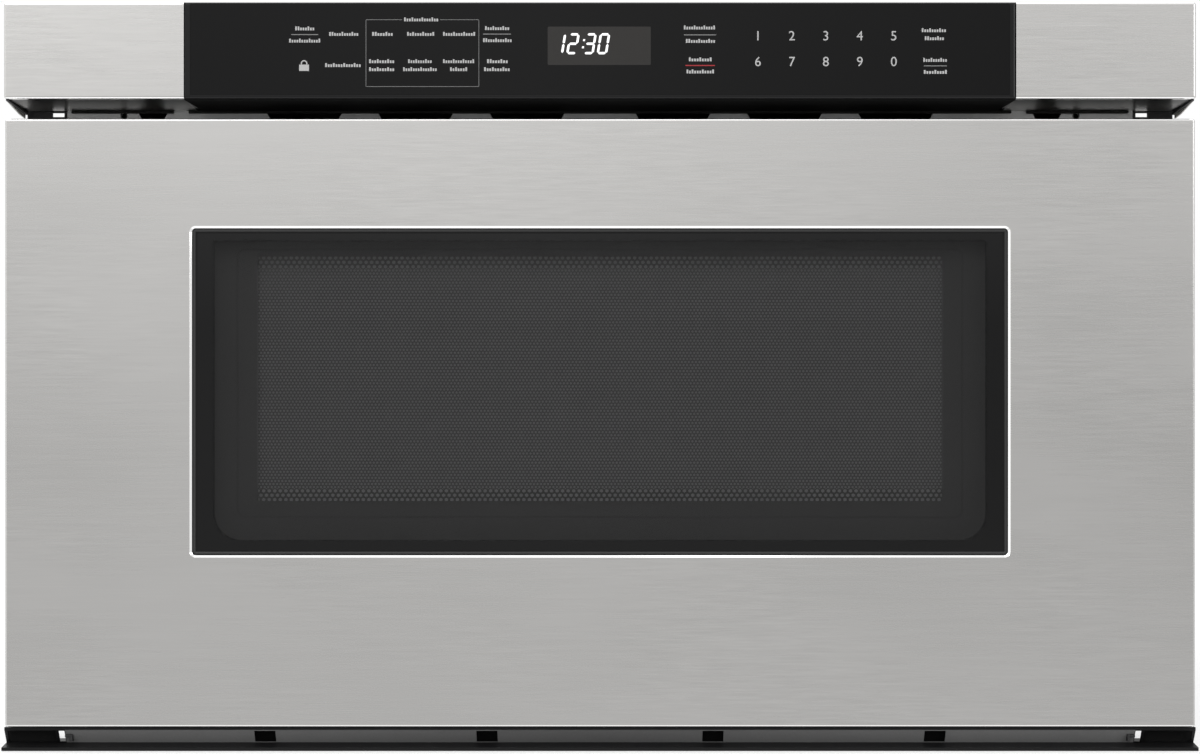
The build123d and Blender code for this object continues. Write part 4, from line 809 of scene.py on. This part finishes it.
marks, thin, red = Solid(), Solid(), Solid()
for x0, x1, y in (
    (295, 314, 28.5), (289, 320, 40.7), (329, 358, 34), (372, 392.5, 34), (407, 434, 34),
    (443, 475, 34), (485, 509, 28.2), (483, 511.5, 40.3), (325, 360.5, 65.2), (404, 438, 19.5),
    (369, 394, 61.3), (369, 394, 69.3), (408, 431.5, 61.3), (403, 436.6, 69.3), (443, 474, 61.3),
    (450, 467, 69.3), (487, 507.6, 61.3), (484, 509.5, 69.3), (684, 715, 27.6), (686, 715, 41),
    (689, 711.6, 59.5), (686.6, 714, 71.6), (922, 946, 30.3), (925, 944, 38.3), (923.5, 947, 60),
    (924, 947, 72),
):
    dashes(marks, at_x(x0), at_x(x1), at_z(y) - 0.0002, 0.00135)
for x0, x1, y in ((291, 318, 34.5), (483, 511, 34), (684, 716, 34.8), (924, 947, 65.8)):
    thin.box((at_x(x0), at_x(x1)), (INK_FRONT, INK_BACK), (at_z(y) - 0.0002, at_z(y) + 0.0002))
red.box((at_x(685.5), at_x(715)), (INK_FRONT, INK_BACK), (at_z(65.4) - 0.00025, at_z(65.4) + 0.00025))
hair = 0.00022
left, right, top, bottom = at_x(365.6), at_x(479), at_z(19.4), at_z(86.7)
for x, z in (
    ((left, left + hair), (bottom, top)),
    ((right - hair, right), (bottom, top)),
    ((left, right), (bottom, bottom + hair)),
    ((left, at_x(402)), (top - hair, top)),
    ((at_x(440), right), (top - hair, top)),
):
    thin.box(x, (INK_FRONT, INK_BACK), z)
# padlock
lock_x, lock_z = at_x(303.9), at_z(67.3)
marks.box((lock_x - 0.0025, lock_x + 0.0025), (INK_FRONT, INK_BACK), (lock_z - 0.0018, lock_z + 0.0014))
shackle, shackle_hole, foot = 0.0017, 0.0011, lock_z + 0.0013


def arch(radius, turns):
    """Half a ring of points over the padlock's body."""
    middle = lock_z + 0.0020
    return [(lock_x + radius * cos(radians(a)), middle + radius * sin(radians(a))) for a in turns]


marks.prism(
    [(lock_x + shackle, foot)]
    + arch(shackle, range(0, 181, 20))
    + [(lock_x - shackle, foot), (lock_x - shackle_hole, foot)]
    + arch(shackle_hole, range(180, -1, -20))
    + [(lock_x + shackle_hole, foot)],
    INK_FRONT,
    INK_BACK,
)
marks.make("panel_marks", "chassis", white_ink)
thin.make("panel_lines", "chassis", grey_ink)
red.make("panel_red_line", "chassis", red_ink)


def digit(name, word, x, z, size):
    """A printed digit, centred on a point."""
    curve = bpy.data.curves.new(name, "FONT")
    curve.body = word
    curve.size = size
    curve.align_x, curve.align_y = "CENTER", "CENTER"
    curve.resolution_u = 4
    curve.extrude = 0.00002
    holder = bpy.data.objects.new(name + "_source", curve)
    holder.location = (x, FRONT - 0.00001, z)
    holder.rotation_euler = (radians(90), 0, 0)
    scene.collection.objects.link(holder)
    bpy.context.view_layer.update()
    mesh = bpy.data.meshes.new_from_object(holder.evaluated_get(bpy.context.evaluated_depsgraph_get()))
    mesh.transform(holder.matrix_world)
    bpy.data.objects.remove(holder)
    mesh.name = name
    mesh.materials.clear()
    mesh.materials.append(white_ink)
    obj = bpy.data.objects.new(name, mesh)
    scene.collection.objects.link(obj)
    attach(obj, "chassis")


for digits, y in (("12345", 36.2), ("67890", 62.0)):
    for i, word in enumerate(digits):
        digit(f"digit_{word}", word, at_x(758 + 34 * i), at_z(y), 0.0069)

# clock: italic seven-segment figures
SEGMENTS = {"0": "abcdef", "1": "bc", "2": "abged", "3": "abgcd"}
clock = Solid()
clock_low, clock_high = at_z(54.2), at_z(33.1)
figure_h = clock_high - clock_low
figure_w = figure_h * 0.50
stroke = figure_h * 0.11
slant = 0.16


def segment(x, kind):
    """One lit bar of a figure whose lower left corner is at x."""
    w, h, s, g = figure_w, figure_h, stroke, 0.00012
    half = h / 2
    across = {"a": h - s / 2, "g": half, "d": s / 2}
    if kind in across:
        z = across[kind]
        outline = [(s / 2 + g, z), (s + g, z + s / 2), (w - s - g, z + s / 2)]
        outline += [(w - s / 2 - g, z), (w - s - g, z - s / 2), (s + g, z - s / 2)]
    else:
        cx = s / 2 if kind in "ef" else w - s / 2
        z0, z1 = (half, h - s / 2) if kind in "fb" else (s / 2, half)
        z0, z1 = z0 + g, z1 - g
        outline = [(cx, z0), (cx + s / 2, z0 + s / 2), (cx + s / 2, z1 - s / 2)]
        outline += [(cx, z1), (cx - s / 2, z1 - s / 2), (cx - s / 2, z0 + s / 2)]
    clock.prism([(x + px + pz * slant, clock_low + pz) for px, pz in outline], INK_FRONT, INK_BACK)


clock_x = at_x(552.5)
for word, offset in (("1", 0.0), ("2", 13.5), ("3", 30.5), ("0", 44.0)):
    for kind in SEGMENTS[word]:
        segment(clock_x + offset * PX, kind)
dot = 0.001  # side of each dot of the colon
for pz in (0.33, 0.67):
    z = figure_h * pz
    x = clock_x + 28.2 * PX + z * slant
    low, high, lean = clock_low + z - dot / 2, clock_low + z + dot / 2, dot * slant
    corners = [(x, low), (x + dot, low), (x + dot + lean, high), (x + lean, high)]
    clock.prism(corners, INK_FRONT, INK_BACK)
clock.make("clock_figures", "chassis", lit)

# ---- display window in the panel glass ----
lens_low, lens_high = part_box("display_lens")
shade = Solid()
lens_middle, lens_half = (lens_low.x + lens_high.x) / 2, (lens_high.x - lens_low.x) / 2
shade.prism(
    rounded_outline(lens_half, lens_low.z, lens_high.z, 0.0006, lens_middle),
    FRONT - 0.00001,
    FRONT + 0.00003,
)
shade.make("display_window", "chassis", smoked, slot="smoked_lens")

# ---- finger gap: black strips of painted shade at its back, felt, eyelets, and the folded ends under the strip ----
def on_side(sign, near, far):
    """The range in X from near to far, on the side of this sign."""
    return sorted((sign * near, sign * far))


# painted shade: black strips where the back of the gap under the strip lies in shadow
shade_strips = Solid()
for x0, x1 in ((-0.2780, -0.2244), (-0.2164, 0.2164), (0.2244, 0.2780)):
    shade_strips.box((x0, x1), (FRAME - 0.0020, FRAME), (strip_low - 0.0014, strip_low))
shade_strips.make("gap_shade_strips", "chassis", shade_strip_black, slot="black_plastic", bevel=0.0003)
felt = Solid()
panel_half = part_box("control_housing")[1].x
felt_front, felt_back, felt_taper = FRONT + 0.0012, FRAME - 0.0022, 0.003
felt.prism(
    [
        (-panel_half, felt_front),
        (panel_half, felt_front),
        (panel_half - felt_taper, felt_back),
        (felt_taper - panel_half, felt_back),
    ],
    strip_low - 0.0003,
    strip_low,
    axis=2,
)
felt.make("housing_felt", "chassis", felt_black, slot="black_plastic")
rings = Solid()
pilot_x, pilot_z = 0.2507, 0.329
hole, rim, stand = 0.0013, 0.0018, 0.0004
for sign in (-1, 1):
    profile = [(hole, 0), (rim, 0), (rim, stand), (hole, stand), (hole, 0)]
    rings.lathe((sign * pilot_x, FRAME, pilot_z), (0, -1, 0), profile, 24)
rings.make("frame_eyelets", "chassis", black_plastic, slot="black_plastic")
half_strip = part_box("panel_trim_right")[1].x
folds, end_shade_strips = Solid(), Solid()
fold_back = FRAME - 0.0006
fold = [
    (FRONT + 0.0030, strip_low),
    (fold_back, strip_low),
    (fold_back, strip_low - 0.0040),
    (FRAME - 0.011, strip_low - 0.0034),
]
# painted shade: a black strip inside each fold stands for the shaded lower edge of the strip's end
end_shade_outline = [
    (FRONT + 0.0012, strip_low),
    (fold_back, strip_low),
    (fold_back, strip_low - 0.0022),
    (FRONT + 0.0012, strip_low - 0.0008),
]
for sign in (-1, 1):
    folds.prism(fold, *on_side(sign, half_strip - 0.0008, half_strip - 0.0001), axis=0)
    end_shade_strips.prism(end_shade_outline, *on_side(sign, half_strip - 0.0022, half_strip - 0.0009), axis=0)
folds.make("strip_end_folds", "chassis", nylon, slot="white_plastic")
end_shade_strips.make("strip_end_shade", "chassis", black_plastic, slot="black_plastic")

# ---- bottom trim: the clips at its ends, and black plates of painted shade behind its slots and at its ends ----
trim_low, trim_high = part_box("bottom_trim")
clip_y = (FRONT + 0.0050, FRONT + 0.0090)
shade_plate_z = (trim_low.z + 0.0014, trim_high.z - 0.0014)
clips, slot_shade_plates = Solid(), Solid()
for sign in (-1, 1):
    clips.box(on_side(sign, 0.2695, 0.2734), clip_y, (0.0062, 0.0076))
    clips.box(on_side(sign, 0.2695, 0.2709), clip_y, (0.0040, 0.0063))
    # painted shade: dark plates behind the slots and ends, where only deep shadow shows
    slot_shade_plates.box(on_side(sign, 0.2783, 0.3040), (FRONT + 0.0108, FRONT + 0.0114), shade_plate_z)
    for middle in (0.0578, 0.1713):
        x = on_side(sign, middle - 0.010, middle + 0.012)
        slot_shade_plates.box(x, (FRONT + 0.0145, FRONT + 0.0155), shade_plate_z)
clips.make("trim_clips", "chassis", black_plastic, slot="black_plastic", bevel=0.0002)
slot_shade_plates.make("trim_slot_shade", "chassis", felt_black, slot="black_plastic")


# ---- screws with cross recesses ----
def screw_head(solid, centre, out, radius, height):
    """A pan head with a cross recess, on a seat at centre, facing out."""
    out = Vector(out).normalized()
    side = out.orthogonal().normalized()
    other = out.cross(side)
    rings, turns = 7, 32
    points = [Vector(centre)]
    for k in range(rings + 1):
        share = 1 - k / rings
        radius_k = radius * (share if share > 0.02 else 0.0)
        lift = height * (0.35 + 0.65 * (1 - share**2.6)) if k else 0.0
        for i in range(turns):
            a = 2 * pi * i / turns
            px, pz = radius_k * cos(a), radius_k * sin(a)
            sunk = 0.0
            if radius_k < radius * 0.62 and min(abs(px), abs(pz)) < radius * 0.13:
                sunk = height * 0.55
            points.append(Vector(centre) + out * (lift - sunk) + side * px + other * pz)
    faces = [(0, 1 + (i + 1) % turns, 1 + i) for i in range(turns)]
    for k in range(rings):
        for i in range(turns):
            a, b = 1 + k * turns + i, 1 + k * turns + (i + 1) % turns
            faces.append((a, b, b + turns, a + turns))
    solid.put(points, faces)


def loose_parts(name):
    """The box of each solid of a CAD node, found from its mesh."""
    made = bmesh.new()
    made.from_mesh(nodes[name].data)
    bmesh.ops.remove_doubles(made, verts=made.verts, dist=1e-6)
    found, reached = [], set()
    for start in made.verts:
        if start.index in reached:
            continue
        stack, group = [start], []
        reached.add(start.index)
        while stack:
            vert = stack.pop()
            group.append(vert.co.copy())
            for edge in vert.link_edges:
                other = edge.other_vert(vert)
                if other.index not in reached:
                    reached.add(other.index)
                    stack.append(other)
        found.append((Vector(map(min, *group)), Vector(map(max, *group))))
    made.free()
    return found


HEAD_HEIGHT = 0.0015


def screw(solid, seat, out, radius, length):
    """A head of this radius on its seat, and a pointed shank of this length behind it."""
    shank, tip = 0.0019, 0.0006
    screw_head(solid, seat, out, radius, HEAD_HEIGHT)
    profile = [(0, 0), (shank, 0), (shank, length - 0.001), (tip, length), (0, length)]
    solid.lathe(seat, -Vector(out), profile, 16)


heads = Solid()
for low, high in loose_parts("chassis_screws"):
    sign = 1 if low.x + high.x > 0 else -1
    seat = (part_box("side_panels")[1].x * sign, (low.y + high.y) / 2, (low.z + high.z) / 2)
    tip = low.x if sign > 0 else high.x
    screw(heads, seat, (sign, 0, 0), (high.y - low.y) / 2, abs(seat[0] - tip))
heads = heads.make("chassis_screw_heads", "chassis", screw_zinc, smooth=True, slot="zinc_screw")
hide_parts("chassis_screws")
heads = Solid()
for low, high in loose_parts("tub_screws"):
    seat = ((low.x + high.x) / 2, high.y - HEAD_HEIGHT, (low.z + high.z) / 2)
    screw(heads, seat, (0, 1, 0), (high.x - low.x) / 2, seat[1] - low.y)
heads = heads.make("tub_screw_heads", "drawer", screw_zinc, smooth=True, slot="zinc_screw")
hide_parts("tub_screws")

# ---------------------------------------------------------------- floor
floor_finish = Finish("pale_floor", colour(0.60, 0.60, 0.60), 0.65, ior=1.2, Emission_Strength=1.0)
broad = floor_finish.noise((3, 3, 3), 4)
rays = floor_finish.add("LightPath", None).outputs
seen = floor_finish.math("MAXIMUM", rays["Is Camera Ray"], rays["Is Transmission Ray"])
where = floor_finish.add("TexCoord", out="Object")
away = floor_finish.add("VectorMath", "Value", {"operation": "LENGTH"}, i0=where)
away = floor_finish.span(away, 0.9, 2.4)
glow = floor_finish.mix(away, colour(0.50, 0.50, 0.50), colour(1, 1, 1))
floor_finish.over(away, colour(0.02, 0.02, 0.02))
glow = floor_finish.mix(seen, colour(0, 0, 0), glow)
floor_finish.put(floor_finish.shader.inputs["Emission Color"], glow)
opacity = floor_finish.math("SUBTRACT", 1.0, rays["Is Glossy Ray"])
floor_finish.put(floor_finish.shader.inputs["Alpha"], opacity)
floor_finish = floor_finish.tint(broad, 0.01).gloss(broad, 0.03).done()
reach, below = 9, 0.0002
floor = bpy.data.meshes.new("floor")
corners = [(-reach, -reach, 0), (reach, -reach, 0), (reach, reach, 0), (-reach, reach, 0)]
floor.from_pydata(corners, [], [(0, 1, 2, 3)])
floor.materials.append(floor_finish)
floor = bpy.data.objects.new("floor", floor)
floor.location.z = -below
scene.collection.objects.link(floor)
floor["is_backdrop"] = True

low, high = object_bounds()
